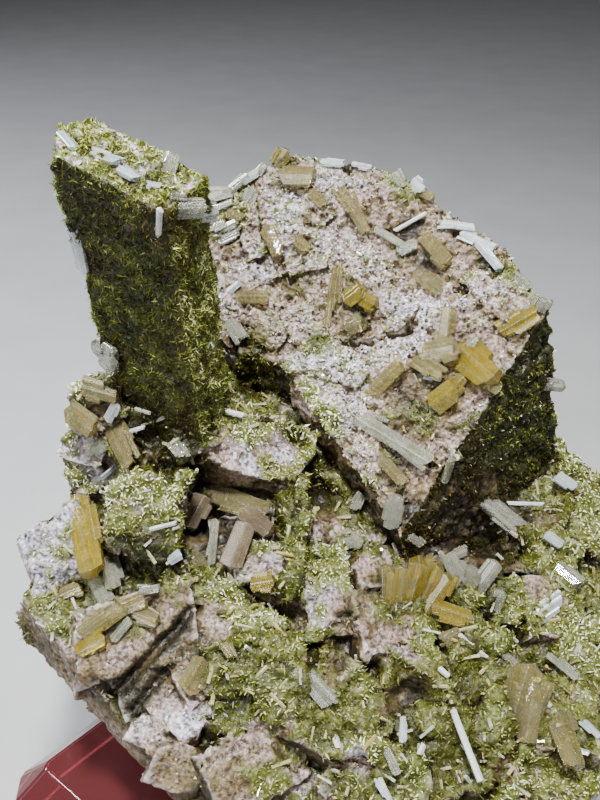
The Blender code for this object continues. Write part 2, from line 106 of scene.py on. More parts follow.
# Blocks on the front: name, pixel of its middle, length, width, depth, picture angle, tips, how far it
# stands out; then how mossy it is, how bright its moss is, and its rock from lilac -1 to pink-brown 1
frontBlocks = (
    ("middle_block", (242, 460), (11.5, 7.6, 9.0), -14, (4, 8), 3.8, 0.55, 0.85, 0.5),
    ("mossy_lump", (145, 530), (7.4, 8.6, 9.0), -8, (26, -4), 4.4, 0.80, 0.50, -0.3),
    ("recess_block", (236, 545), (6.5, 5.0, 5.0), 12, (0, 0), 1.2, 0.10, 0.60, 0.7),
    ("foot_lump_left", (134, 452), (6.0, 6.0, 8.0), -14, (24, -6), 6.0, 0.95, 0.40, 0.0),
    ("foot_lump_right", (186, 450), (6.6, 6.4, 8.0), 24, (20, 4), 6.6, 0.90, 0.25, 0.2),
    ("left_slab", (56, 552), (7.4, 6.0, 3.0), 32, (8, -12), 1.0, 0.20, 0.70, -1.0),
    ("left_shoulder", (94, 474), (6.0, 6.0, 5.0), 20, (14, -12), 1.8, 0.55, 1.15, -0.6),
    ("left_lump_back", (106, 440), (5.6, 5.0, 12.0), 10, (30, -6), 7.4, 0.50, 1.15, -0.5),
    ("left_lump", (88, 452), (5.6, 5.0, 9.0), -20, (20, -16), 3.8, 0.45, 1.15, -0.4),
    ("yellow_ledge", (130, 642), (11.6, 7.0, 5.0), 16, (4, -6), 2.2, 0.22, 0.70, 0.6),
    ("pink_slab", (203, 660), (7.6, 7.0, 6.0), 40, (0, 6), 2.2, 0.15, 0.60, 0.9),
    ("pink_block_a", (142, 690), (5.6, 4.0, 4.5), 35, (5, -6), 1.6, 0.05, 0.60, 1.0),
    ("pink_block_b", (172, 710), (4.4, 4.0, 4.0), 35, (0, 5), 1.4, 0.05, 0.60, 0.3),
    ("pale_rib", (198, 714), (6.4, 2.6, 4.0), 60, (0, 0), 2.0, 0.00, 0.60, -0.2),
    ("lilac_block", (152, 735), (4.4, 3.4, 4.0), -30, (0, 0), 1.2, 0.00, 0.60, -0.6),
    ("pink_block_low", (176, 770), (5.0, 4.2, 4.5), -20, (5, 0), 1.8, 0.05, 0.60, 0.6),
    ("moss_band_left", (190, 590), (5.6, 3.6, 4.5), -5, (12, 0), 2.2, 0.95, 0.85, 0.0),
    ("moss_band_right", (240, 612), (7.5, 3.4, 4.5), -42, (8, 0), 2.0, 0.90, 0.85, 0.0),
    ("pale_block_middle", (258, 570), (5.4, 4.0, 5.0), 8, (10, 5), 2.4, 0.40, 0.95, -0.3),
    ("moss_rib", (294, 548), (2.3, 12.5, 6.0), -4, (4, 10), 3.2, 0.92, 0.40, 0.0),
    ("pink_face", (262, 632), (5.0, 4.0, 4.0), -50, (0, 0), 0.9, 0.10, 0.60, 0.2),
    ("sugar_slope", (322, 600), (5.0, 9.0, 5.0), 8, (0, -8), 1.6, 0.50, 0.85, -0.4),
    ("centre_upper", (366, 576), (4.2, 4.6, 5.0), 15, (-8, 8), 2.2, 0.20, 0.60, 0.7),
    ("centre_block", (375, 630), (5.6, 6.4, 6.0), 20, (0, 6), 2.0, 0.25, 0.60, 0.5),
    ("under_tip", (352, 545), (5.5, 2.6, 4.0), -6, (0, 0), 1.0, 0.40, 0.60, -0.2),
    ("crystal_seat", (425, 618), (9.5, 5.5, 5.5), -14, (14, 0), 2.2, 0.90, 0.55, 0.0),
    ("fan_seat", (478, 604), (7.0, 5.0, 5.0), -10, (10, 0), 1.8, 0.70, 0.75, -0.2),
    ("right_lump_a", (535, 566), (6.5, 5.0, 5.0), -12, (16, 4), 2.6, 0.85, 0.85, -0.2),
    ("right_lump_b", (578, 532), (6.0, 6.5, 6.0), -30, (16, 8), 3.2, 0.95, 0.80, 0.0),
    ("right_lump_c", (545, 616), (7.0, 6.0, 5.0), 10, (8, 0), 2.0, 0.55, 0.80, 0.3),
    ("right_shoulder", (574, 486), (4.0, 3.6, 4.0), -30, (10, 10), 1.6, 0.80, 0.85, -0.2),
    ("right_front", (585, 655), (7.0, 8.0, 6.0), -35, (6, 6), 2.0, 0.70, 0.75, 0.0),
    ("lower_lump_a", (250, 692), (9.6, 8.0, 7.0), 12, (14, -8), 3.2, 0.80, 0.45, 0.2),
    ("lower_lump_b", (335, 715), (9.0, 8.5, 7.0), -28, (-8, 12), 2.6, 0.60, 0.60, 0.6),
    ("lower_lump_c", (412, 690), (6.4, 8.0, 6.0), 24, (10, -12), 2.0, 0.50, 0.65, 0.2),
    ("lower_lump_d", (474, 675), (7.6, 8.0, 6.0), -36, (14, 10), 2.2, 0.80, 0.55, 0.2),
    ("lower_lump_e", (540, 715), (8.5, 8.5, 6.0), -14, (-6, -14), 2.4, 0.60, 0.60, 0.6),
    ("lower_lump_f", (455, 755), (9.5, 8.0, 6.0), 18, (12, 8), 2.4, 0.65, 0.55, 0.5),
    ("lower_lump_g", (250, 772), (9.0, 7.0, 6.0), 34, (8, 10), 2.0, 0.25, 0.70, 0.7),
    ("lower_lump_h", (365, 788), (9.0, 7.5, 6.0), -16, (14, -10), 2.2, 0.65, 0.60, 0.0),
    ("lower_lump_i", (545, 785), (9.0, 7.5, 6.0), -20, (0, 6), 1.8, 0.50, 0.70, 0.2),
)

# Blocks that finish the hidden sides: how many of which sizes, where round the core, how they lie
hidden = {
    "groups": ((42, (4.5, 10.5)), (40, (2.8, 5.6))), "seed": 41, "heights": (-0.5, 0.7),
    "proud": (0.14, 0.30), "turn": 30, "turnSpread": 12, "leanSpread": 9,
}

# Crystals: pixel of the middle, length, width, picture angle, rise of the tip, kind
blades = (
    ((353, 210), 7.0, 1.3, -60, 6, "honey"),
    ((394, 240), 5.4, 1.0, -32, 6, "clear"),
    ((297, 178), 4.6, 2.6, -4, 8, "honey"),
    ((273, 242), 4.2, 1.9, -66, 6, "honey"),
    ((252, 298), 4.6, 1.7, -4, 14, "honey"),
    ((335, 292), 6.0, 1.1, 80, 16, "honey"),
    ((354, 296), 2.8, 2.2, 30, 20, "amber"),
    ((436, 288), 6.2, 1.6, -36, 12, "honey"),
    ((518, 322), 4.8, 1.7, 28, 10, "amber"),
    ((386, 380), 5.4, 1.9, 44, 18, "honey"),
    ((444, 398), 3.8, 2.8, 34, 26, "amber"),
    ((478, 364), 6.2, 2.6, -44, 22, "amber"),
    ((446, 348), 4.4, 2.0, -70, 14, "honey"),
    ((394, 440), 10.0, 1.9, -32, 10, "clear"),
    ((392, 470), 4.2, 1.4, -48, 12, "honey"),
    ((447, 470), 3.6, 1.2, 86, 14, "clear"),
    ((394, 512), 4.2, 1.8, 78, 18, "clear"),
    ((86, 535), 10.0, 2.8, -70, 26, "amber"),
    ((110, 566), 5.4, 1.8, -78, 12, "clear"),
    ((118, 443), 6.4, 1.6, -58, 16, "honey"),
    ((178, 448), 2.4, 1.2, -62, 20, "clear"),
    ((240, 503), 7.6, 2.5, -25, 16, "honey"),
    ((201, 563), 4.2, 1.4, -48, 26, "honey"),
    ((262, 583), 2.8, 1.8, 10, 20, "amber"),
    ((386, 592), 6.0, 1.5, 106, 30, "honey"),
    ((399, 590), 5.8, 1.9, 96, 36, "amber"),
    ((413, 586), 6.4, 2.5, 88, 42, "amber"),
    ((427, 586), 5.8, 2.2, 76, 38, "amber"),
    ((437, 594), 4.8, 1.9, 62, 32, "amber"),
    ((450, 612), 4.8, 1.8, -22, 14, "amber"),
    ((458, 574), 5.0, 1.8, 124, 30, "clear"),
    ((470, 580), 3.6, 1.4, 100, 34, "clear"),
    ((486, 578), 4.4, 1.7, 62, 32, "clear"),
    ((512, 524), 9.6, 2.4, -40, 2, "clear"),
    ((567, 576), 3.4, 1.7, -50, 20, "clear"),
    ((562, 667), 4.4, 0.9, -46, 14, "clear"),
    ((518, 700), 7.6, 4.0, 75, 16, "honey"),
    ((566, 738), 7.0, 2.0, -76, 12, "honey"),
    ((549, 384), 3.6, 1.5, 8, 30, "clear"),
    ((80, 250), 4.4, 1.4, -70, 12, "ice"),
    ((168, 172), 3.4, 1.5, 62, 34, "clear"),
    ((185, 208), 4.0, 2.0, 14, 26, "clear"),
    ((108, 356), 4.6, 2.4, -10, 30, "clear"),
    ((283, 158), 2.4, 2.0, 40, 30, "honey"),
    ((226, 228), 3.4, 1.2, 16, 20, "clear"),
    ((160, 225), 4.0, 0.62, 86, 4, "needle"),
    ((230, 413), 3.0, 0.66, -20, 14, "needle"),
    ((135, 430), 2.6, 0.50, 16, 18, "needle"),
    ((163, 526), 3.4, 0.50, 16, 14, "needle"),
    ((525, 504), 4.4, 0.50, -10, 18, "needle"),
    ((466, 745), 7.0, 0.70, -72, 12, "needle"),
    ((240, 182), 3.0, 1.1, 35, 10, "clear"),
    ((218, 196), 4.0, 1.3, 8, 8, "clear"),
    ((212, 228), 3.6, 1.1, 16, 10, "clear"),
    ((206, 214), 3.0, 1.4, 20, 10, "ice"),
    ((250, 178), 2.6, 1.2, 30, 6, "ice"),
    ((400, 180), 2.4, 1.0, -60, 12, "clear"),
    ((418, 186), 2.2, 1.2, -50, 12, "ice"),
    ((427, 196), 2.0, 1.0, -30, 16, "honey"),
    ((332, 163), 3.0, 0.8, -8, 6, "ice"),
    ((362, 166), 2.6, 0.7, -12, 6, "ice"),
    ((262, 170), 1.6, 1.0, 50, 16, "clear"),
    ((222, 206), 3.0, 0.9, 18, 12, "clear"),
    ((229, 238), 3.0, 0.8, 24, 12, "clear"),
    ((250, 198), 2.6, 1.2, 60, 10, "clear"),
    ((236, 216), 2.4, 1.3, -40, 12, "honey"),
    ((318, 200), 2.8, 1.4, -45, 12, "honey"),
    ((308, 219), 1.3, 1.0, 70, 16, "honey"),
    ((302, 245), 2.4, 1.5, -45, 12, "honey"),
    ((234, 288), 1.9, 0.9, 35, 14, "ice"),
    ((236, 330), 3.4, 1.5, -50, 14, "clear"),
    ((329, 314), 3.2, 0.8, 80, 10, "honey"),
    ((356, 325), 2.4, 2.2, 20, 16, "honey"),
    ((368, 302), 2.6, 1.8, -30, 14, "amber"),
    ((411, 222), 4.2, 0.5, 28, 6, "needle"),
    ((408, 248), 2.6, 1.5, 24, 14, "clear"),
    ((436, 250), 4.8, 1.8, -50, 12, "honey"),
    ((458, 226), 4.0, 1.0, -8, 4, "ice"),
    ((478, 241), 4.6, 0.9, -22, 4, "ice"),
    ((489, 256), 4.4, 1.2, -52, 6, "ice"),
    ((68, 142), 3.2, 1.2, -56, 6, "ice"),
    ((104, 160), 2.8, 1.3, -26, 10, "ice"),
    ((128, 176), 2.6, 1.4, -40, 12, "ice"),
    ((150, 186), 2.0, 1.0, -20, 12, "ice"),
    ((106, 350), 3.6, 1.8, -6, 20, "clear"),
    ((100, 392), 4.2, 1.8, -12, 16, "honey"),
    ((82, 420), 4.0, 2.4, -30, 24, "honey"),
    ((96, 448), 3.0, 1.2, 30, 20, "clear"),
    ((112, 412), 2.6, 1.1, 60, 20, "ice"),
    ((500, 264), 1.6, 0.7, 80, 10, "honey"),
    ((520, 284), 2.4, 1.2, -40, 10, "clear"),
    ((542, 306), 1.8, 1.4, 60, 24, "clear"),
    ((448, 322), 3.6, 2.0, 84, 14, "honey"),
    ((438, 350), 4.0, 2.2, 8, 14, "honey"),
    ((428, 368), 4.2, 1.4, -36, 24, "honey"),
    ((472, 342), 1.6, 0.8, 40, 14, "clear"),
    ((434, 376), 2.0, 1.0, -20, 22, "ice"),
    ((456, 386), 3.0, 1.6, 50, 22, "amber"),
    ((490, 386), 2.6, 1.4, -30, 16, "honey"),
    ((357, 502), 2.2, 1.0, 62, 16, "clear"),
    ((352, 544), 2.6, 1.2, 6, 10, "clear"),
    ((566, 482), 2.8, 1.5, -40, 12, "ice"),
    ((415, 540), 2.2, 1.0, -40, 16, "clear"),
    ((553, 540), 2.4, 1.3, -40, 14, "ice"),
    ((455, 556), 3.0, 1.2, 20, 14, "clear"),
    ((496, 600), 2.6, 1.6, 74, 20, "clear"),
    ((548, 606), 3.4, 1.6, 36, 16, "ice"),
    ((466, 640), 2.0, 0.5, -42, 12, "needle"),
    ((480, 652), 2.0, 0.4, -40, 12, "needle"),
    ((588, 644), 1.8, 0.5, -40, 12, "needle"),
    ((450, 636), 2.6, 1.4, 24, 16, "honey"),
    ((104, 622), 5.2, 1.8, 34, 10, "honey"),
    ((128, 608), 4.4, 1.6, 20, 12, "honey"),
    ((92, 645), 3.4, 1.6, 26, 12, "amber"),
    ((146, 616), 3.2, 1.4, -20, 10, "honey"),
    ((122, 630), 3.0, 1.0, 48, 12, "clear"),
    ((196, 676), 4.0, 2.6, 62, 2, "honey"),
    ((228, 650), 1.8, 1.0, -50, 12, "honey"),
    ((214, 542), 5.0, 0.8, 84, 8, "clear"),
    ((238, 545), 5.4, 2.6, 70, 8, "smoke"),
    ((256, 522), 4.4, 2.2, -40, 12, "smoke"),
    ((196, 512), 4.2, 2.0, 60, 12, "smoke"),
    ((108, 472), 2.4, 1.0, 54, 14, "ice"),
    ((182, 470), 2.2, 1.0, 34, 16, "clear"),
    ((128, 436), 5.2, 0.7, -58, 12, "honey"),
    ((98, 586), 5.2, 1.4, -62, 8, "clear"),
    ((70, 592), 2.6, 1.2, 20, 10, "honey"),
    ((150, 590), 2.4, 1.0, 10, 14, "clear"),
    ((176, 558), 1.8, 1.0, 30, 14, "ice"),
    ((312, 688), 5.0, 1.6, -52, 8, "clear"),
    ((334, 736), 2.4, 0.8, -75, 10, "needle"),
    ((403, 730), 2.6, 0.7, 84, 12, "ice"),
    ((420, 752), 1.8, 0.6, 70, 12, "needle"),
    ((392, 760), 3.0, 0.6, -60, 10, "clear"),
    ((385, 790), 2.6, 0.7, -62, 10, "ice"),
    ((545, 700), 2.2, 0.6, -60, 12, "needle"),
    ((582, 752), 1.4, 0.7, -20, 12, "ice"),
    ((444, 672), 1.4, 0.6, -40, 12, "needle"),
    ((592, 730), 2.4, 0.8, -50, 12, "ice"),
    ((510, 660), 2.6, 0.9, -48, 12, "clear"),
)

# Where the rock and its crust change, by stains, by painted shade in recesses, under ledges and round
# crystals, and by painted light that lightens a few shaded faces: pixel, radius in mm, what is added to
# moss, brightness and tone
stainsAndPaintedShading = (
    ((300, 325), 4.5, 0.16, -0.10, 0.0),
    ((136, 492), 3.2, 0.00, 0.55, 0.0),
    ((172, 500), 2.4, -0.10, 0.45, 0.0),
    ((118, 520), 2.2, 0.00, 0.45, 0.0),
    ((150, 560), 3.0, 0.10, -0.35, 0.0),
    ((314, 341), 1.4, 0.60, -0.40, 0.0),
    ((276, 268), 2.6, 0.20, 0.20, 0.0),
    ((292, 286), 1.8, -0.10, 0.00, 1.3),
    ((330, 420), 3.0, 0.24, 0.15, 0.0),
    ((350, 462), 3.0, 0.26, 0.20, 0.0),
    ((380, 500), 3.0, 0.32, 0.12, 0.0),
    ((300, 390), 3.0, 0.20, 0.10, 0.0),
    ((392, 200), 3.6, -0.10, 0.00, 0.75),
    ((480, 270), 5.0, -0.10, 0.00, 0.60),
    ((520, 335), 3.6, -0.10, 0.00, 0.90),
    ((366, 315), 2.6, -0.05, -0.10, 1.4),
    ((414, 266), 2.2, 0.00, -0.10, 1.2),
    ((415, 402), 3.6, 0.10, -0.25, 1.2),
    ((452, 418), 3.2, 0.25, -0.35, 1.0),
    ((270, 215), 3.0, -0.05, 0.00, -0.4),
    ((402, 320), 4.0, -0.12, 0.00, -0.5),
    ((330, 182), 2.6, -0.10, 0.00, -0.5),
    ((300, 158), 2.4, 0.30, 0.45, 0.0),
    ((412, 188), 2.4, 0.36, 0.30, 0.0),
    ((530, 292), 2.6, 0.38, 0.15, 0.0),
    ((498, 262), 2.0, 0.30, 0.15, 0.0),
    ((512, 278), 1.8, 0.34, 0.15, 0.0),
    ((540, 345), 2.2, 0.50, -0.35, 0.0),
    ((225, 200), 4.0, 0.30, 0.35, 0.0),
    ((232, 250), 2.4, -0.20, 0.00, 1.2),
    ((474, 528), 6.0, -0.60, -0.80, 3.2),
    ((425, 512), 3.0, -0.40, -0.50, 2.4),
    ((215, 212), 3.2, 0.40, 0.55, -0.5),
    ((322, 500), 3.0, -0.50, -0.20, 2.2),
    ((250, 365), 4.0, 0.10, -0.40, 1.8),
    ((150, 436), 2.4, 0.10, -0.40, 1.6),
    ((200, 522), 3.0, -0.40, -0.10, 1.8),
    ((250, 520), 3.0, -0.40, -0.10, 1.2),
    ((344, 655), 2.6, -0.30, -0.10, 1.6),
    ((345, 605), 2.0, -0.30, -0.10, 1.4),
    ((34, 640), 3.2, 0.18, -0.10, 0.3),
    ((150, 755), 3.2, -0.20, 0.00, 1.2),
    ((200, 790), 3.2, -0.20, 0.00, 1.2),
    ((412, 700), 3.0, -0.30, -0.10, 1.6),
    ((96, 456), 3.4, -0.05, 0.45, -0.5),
    ((236, 436), 2.6, -0.06, 0.35, -0.4),
    ((224, 456), 2.0, -0.80, 0.10, 0.3),
    ((288, 450), 1.7, -0.60, 0.30, -0.5),
    ((245, 480), 2.2, -0.40, 0.20, -1.2),
    ((84, 452), 3.0, -0.20, 0.40, -0.8),
    ((140, 550), 2.8, 0.00, -0.45, 0.4),
    ((470, 550), 3.0, -0.10, -0.30, 1.4),
    ((96, 690), 3.4, -0.30, -0.20, 0.9),
    ((180, 640), 2.6, -0.30, -0.20, 0.8),
    ((182, 623), 1.0, -0.40, -0.30, 1.8),
    ((163, 645), 1.0, -0.40, -0.30, 1.8),
    ((143, 665), 1.0, -0.40, -0.30, 1.8),
    ((124, 684), 1.0, -0.40, -0.30, 1.8),
    ((156, 684), 0.8, -0.40, -0.30, 1.6),
    ((138, 703), 0.8, -0.40, -0.30, 1.6),
)

# Low ledges on the great block's face: pixel, size, picture angle, how far they stand out
ledges = (
    ((298, 268), (5.8, 1.7, 1.6), 8, 0.5), ((316, 214), (3.0, 2.2, 1.4), -40, 0.3),
    ((250, 235), (2.4, 6.0, 1.6), 12, 0.45), ((262, 330), (5.0, 3.0, 1.6), -30, 0.35),
    ((430, 445), (6.0, 1.8, 1.4), -32, 0.3), ((492, 300), (7.0, 2.4, 1.2), -48, 0.2),
    ((330, 372), (6.4, 2.0, 1.4), -20, 0.3), ((440, 318), (5.0, 6.0, 1.0), -48, 0.15),
)

# What is strewn: name, carrier, kind, and settings in mm; Mask names the attribute that it follows
scatters = (
    ("moss_matrix", "rock_matrix", "grains", {
        "Spacing": 0.26, "Density": 12.5, "Size": 0.18, "Spread": 0.5, "Stretch": 3.4, "Tilt": 1.1,
        "Seed": 3, "Mask": "moss"}),
    ("moss_great_block", "rock_great_block", "grains", {
        "Spacing": 0.22, "Density": 13.0, "Size": 0.20, "Spread": 0.5, "Stretch": 3.0, "Tilt": 1.1,
        "Seed": 4, "Mask": "moss"}),
    ("moss_tall_crystal", "rock_tall_crystal", "grains", {
        "Spacing": 0.17, "Density": 28.0, "Size": 0.13, "Spread": 0.6, "Stretch": 5.0, "Tilt": 1.4,
        "Seed": 5, "Mask": "moss"}),
    ("sugar_tall_crystal", "rock_tall_crystal", "grains", {
        "Spacing": 0.28, "Density": 12.0, "Size": 0.36, "Spread": 0.5, "Stretch": 1.3, "Tilt": 1.5,
        "Seed": 10, "Mask": "sugar"}),
    ("sugar_great_block", "rock_great_block", "sugar", {
        "Spacing": 0.20, "Density": 12.0, "Size": 0.28, "Spread": 0.5, "Stretch": 1.2, "Tilt": 1.5,
        "Seed": 6, "Mask": "sugar"}),
    ("sugar_matrix", "rock_matrix", "sugar", {
        "Spacing": 0.25, "Density": 4.0, "Size": 0.30, "Spread": 0.5, "Stretch": 1.2, "Tilt": 1.5,
        "Seed": 7, "Mask": "sugar"}),
    ("splinters_great_block", "rock_great_block", "splinters", {
        "Spacing": 0.5, "Density": 0.9, "Size": 0.16, "Spread": 0.5, "Stretch": 5.0, "Tilt": 1.4,
        "Seed": 8, "Mask": "sugar"}),
    ("splinters_matrix", "rock_matrix", "splinters", {
        "Spacing": 0.8, "Density": 0.30, "Size": 0.24, "Spread": 0.6, "Stretch": 5.0, "Tilt": 1.3,
        "Seed": 9, "Mask": "moss"}),
)

# Recesses that run back from the front: pixel, radius, depth
hollows = (
    ((448, 522), 3.6, 4.5), ((484, 534), 4.2, 6.5), ((522, 548), 2.4, 3.5), ((322, 500), 3.2, 3.0),
    ((255, 372), 3.6, 3.0), ((150, 434), 2.4, 2.4), ((196, 520), 3.0, 2.4), ((250, 528), 2.8, 1.8),
    ((344, 640), 3.0, 1.8), ((412, 705), 3.4, 2.0), ((298, 440), 2.4, 2.6),
)

# Long gaps between the lower blocks: pixels along the gap, half its width, depth
gaps = (
    (((192, 610), (164, 645), (140, 668), (112, 698)), 0.68, 1.2),
    (((170, 668), (152, 688), (132, 714)), 0.55, 0.9),
)

seatPoint = Vector((-stand["centre"][0], -stand["centre"][1], stand["height"] - stand["top"]))
toWorld = Matrix.Scale(mm, 4) @ Matrix.Translation(seatPoint)
viewTilt = math.radians(view["elevation"])
viewForward = Vector((0, math.cos(viewTilt), -math.sin(viewTilt)))
viewUp = Vector((0, math.sin(viewTilt), math.cos(viewTilt)))
lowerLeft = Vector((-0.66, -0.62, -0.42)).normalized()  # which way the smooth lower rim faces


# Small helpers

def turned(axis, degrees):
    return Matrix.Rotation(math.radians(degrees), 4, axis)


def newPiece(name, mesh, finish=None):
    piece = bpy.data.objects.new(name, mesh)
    bpy.context.scene.collection.objects.link(piece)
    if finish:
        piece.data.materials.clear()
        piece.data.materials.append(finish)
    return piece


def meshFrom(bm, name):
    bmesh.ops.remove_doubles(bm, verts=bm.verts, dist=0.02)
    bmesh.ops.recalc_face_normals(bm, faces=bm.faces)
    mesh = bpy.data.meshes.new(name)
    bm.to_mesh(mesh)
    bm.free()
    return mesh


def trim(bm, point, normal):
    # cuts away what lies beyond a plane and closes the cut
    geometry = bm.verts[:] + bm.edges[:] + bm.faces[:]
    cut = bmesh.ops.bisect_plane(
        bm, geom=geometry, dist=0.001, plane_co=point, plane_no=normal, clear_outer=True
    )
    edges = [item for item in cut["geom_cut"] if isinstance(item, bmesh.types.BMEdge)]
    if edges:
        bmesh.ops.contextual_create(bm, geom=edges)


def evaluatedMesh(piece):
    shown = piece.evaluated_get(bpy.context.evaluated_depsgraph_get())
    return bpy.data.meshes.new_from_object(shown)


def sightLine(pixel):
    # from the camera through a pixel of the photograph
    across = (pixel[0] - view["centrePx"][0]) / view["focalPx"]
    rise = (view["centrePx"][1] - pixel[1]) / view["focalPx"]
    direction = viewForward + Vector((across, 0, 0)) + viewUp * rise
    return -viewForward * view["distance"], direction.normalized()


def spotUnder(tree, pixel):
    return tree.ray_cast(*sightLine(pixel))[0]


def surfaceOf(meshes):
    # a search tree over several meshes
    bm = bmesh.new()
    for mesh in meshes:
        bm.from_mesh(mesh)
    tree = BVHTree.FromBMesh(bm)
    bm.free()
    return tree


def seatOn(tree, pixel, angle, asPictured=False):
    # x along the picture angle, y beside it, z out of the surface; as pictured, x looks just so from
    # the camera, otherwise it is the picture's direction dropped onto the surface
    eye, direction = sightLine(pixel)
    spot, normal, _, _ = tree.ray_cast(eye, direction)
    along = Vector((1, 0, 0)) * math.cos(math.radians(angle)) + viewUp * math.sin(math.radians(angle))
    if asPictured:
        along = normal.cross(direction.cross(along)).normalized()
    else:
        along = (along - normal * along.dot(normal)).normalized()
    axes = Matrix((along, normal.cross(along).normalized(), normal)).transposed()
    return Matrix.Translation(spot) @ axes.to_4x4()


# The rock's big forms, as plain closed meshes

def coreMesh():
    bm = bmesh.new()
    bmesh.ops.create_icosphere(bm, subdivisions=4, radius=1.0)
    centre = Vector(core["centre"])
    for vert in bm.verts:
        shape = Vector(a * b for a, b in zip(vert.co, core["radii"]))
        bump = noise.cell(vert.co * 2.6) - 0.5 + noise.noise(vert.co * 2.1)
        vert.co = centre + shape + vert.co.normalized() * bump * core["bumps"]
    for point, normal in core["cuts"]:
        trim(bm, Vector(point), Vector(normal))
    trim(bm, Vector((0, 0, stand["top"] + stand["gap"])), Vector((0, 0, -1)))
    return meshFrom(bm, "core")


# A block's oblique angles, and the corners that are broken off it
feldspar = {"oblique": (0.08, 0.16, 0.10), "corners": 4, "aim": (0.5, 1.0), "left": (0.60, 0.70)}


def feldsparMesh(name, size, place, seed):
    chance = random.Random(seed)
    bm = bmesh.new()
    bmesh.ops.create_cube(bm, size=1.0)
    a, b, c = feldspar["oblique"]
    lean = Matrix(((1, a, b, 0), (0, 1, c, 0), (0, 0, 1, 0), (0, 0, 0, 1)))
    bmesh.ops.transform(bm, matrix=lean, verts=bm.verts)
    for _ in range(feldspar["corners"]):
        corner = Vector(chance.choice((-1, 1)) * chance.uniform(*feldspar["aim"]) for _ in range(3))
        corner.normalize()
        trim(bm, corner * chance.uniform(*feldspar["left"]), corner)
    bmesh.ops.translate(bm, vec=(0, 0, -0.5), verts=bm.verts)
    bmesh.ops.transform(bm, matrix=place @ Matrix.Diagonal((*size, 1.0)), verts=bm.verts)
    return meshFrom(bm, name)


def tallMesh():
    foot, top = Vector(tall["foot"]), Vector(tall["top"])
    above = top + (top - foot) * 0.25  # room for the slanting cut
    bm = bmesh.new()
    low = [bm.verts.new(foot + Vector((x, y, 0)) * tall["footScale"]) for x, y in tall["outline"]]
    high = [bm.verts.new(above + Vector((x, y, 0))) for x, y in tall["outline"]]
    bm.faces.new(low)
    bm.faces.new(high)
    for number in range(len(low)):
        bm.faces.new((low[number - 1], low[number], high[number], high[number - 1]))
    for point, normal in tall["cuts"]:
        trim(bm, top + Vector(point), Vector(normal))
    return meshFrom(bm, "tallCrystal")


def faceFrame():
    turn, rise = math.radians(greatBlock["turn"]), math.radians(greatBlock["elevation"])
    across = Vector((math.cos(turn), -math.sin(turn), 0))
    outward = Vector(
        (-math.sin(turn) * math.cos(rise), -math.cos(turn) * math.cos(rise), math.sin(rise))
    )
    axes = Matrix((across, outward.cross(across), outward)).transposed().to_4x4()
    return Matrix.Translation(Vector(greatBlock["tip"])) @ axes


def slabMesh(name, outline, drop):
    place = faceFrame()
    bm = bmesh.new()
    face = bm.faces.new([bm.verts.new(place @ Vector((x, y, -drop))) for x, y in outline])
    run = bmesh.ops.extrude_face_region(bm, geom=[face])
    moved = [item for item in run["geom"] if isinstance(item, bmesh.types.BMVert)]
    bmesh.ops.translate(bm, vec=Vector(greatBlock["run"]), verts=moved)
    return meshFrom(bm, name)


def isHidden(tree, spot, radius):
    # whether a ball there is out of the photograph or behind other rock
    eye, middle = sightLine(view["centrePx"])
    offset = spot - eye
    depth = offset.dot(middle)
    across = offset.x / depth * view["focalPx"]
    rise = offset.dot(viewUp) / depth * view["focalPx"]
    margin = radius / depth * view["focalPx"]
    if abs(across) - margin > view["centrePx"][0] or abs(rise) - margin > view["centrePx"][1]:
        return True
    right = Vector((1, 0, 0))
    for step in (right * 0, right, -right, viewUp, -viewUp):
        target = offset + step * radius
        hit, _, _, distance = tree.ray_cast(eye, target.normalized())
        if hit is None or distance > target.length - radius:
            return False
    return True


def hiddenBlocks(tree):
    chance = random.Random(hidden["seed"])
    farOut = 120  # beyond all of the rock
    centre = Vector(core["centre"])
    wanted = [sizes for count, sizes in hidden["groups"] for _ in range(count)]
    made = []
    while len(made) < len(wanted):
        angle = chance.uniform(0, math.tau)
        height = chance.uniform(*hidden["heights"])
        flat = math.sqrt(1 - height * height)
        direction = Vector((math.cos(angle) * flat, math.sin(angle) * flat, height))
        size = sorted(chance.uniform(*wanted[len(made)]) for _ in range(3))
        spot, normal, _, _ = tree.ray_cast(centre + direction * farOut, -direction)
        reach = size[2] * 0.6
        lowest = stand["top"] + stand["gap"] + 1.0 + reach
        if spot is None or spot.z < lowest or not isHidden(tree, spot, reach):
            continue
        axes = normal.to_track_quat("Z", "Y").to_matrix().to_4x4()
        proud = size[2] * chance.uniform(*hidden["proud"])
        seat = Matrix.Translation(spot + normal * proud) @ axes
        spread = hidden["leanSpread"]
        lean = turned("X", chance.gauss(0, spread)) @ turned("Y", chance.gauss(0, spread))
        place = seat @ turned("Z", chance.gauss(hidden["turn"], hidden["turnSpread"])) @ lean
        seed = hidden["seed"] + len(made)
        made.append(feldsparMesh("hiddenBlock", (size[2], size[1], size[0]), place, seed))
    return made


# From plain forms to rock

def unionOf(meshes, name):
    # one outer skin round closed meshes that overlap
    group = bpy.data.collections.new(name)
    bpy.context.scene.collection.children.link(group)
    for mesh in meshes[1:]:
        group.objects.link(bpy.data.objects.new(name, mesh))
    base = newPiece(name, meshes[0])
    join = base.modifiers.new("join", "BOOLEAN")
    join.solver, join.operation, join.operand_type = "EXACT", "UNION", "COLLECTION"
    join.collection = group
    joined = evaluatedMesh(base)
    for item in [*group.objects, base]:
        bpy.data.objects.remove(item)
    bpy.data.collections.remove(group)
    bm = bmesh.new()
    bm.from_mesh(joined)
    reached = {max(bm.verts, key=lambda vert: vert.co.z)}
    front = list(reached)
    while front:
        for edge in front.pop().link_edges:
            for vert in edge.verts:
                if vert not in reached:
                    reached.add(vert)
                    front.append(vert)
    bmesh.ops.delete(bm, geom=[v for v in bm.verts if v not in reached], context="VERTS")
    bm.to_mesh(joined)
    bm.free()
    return joined


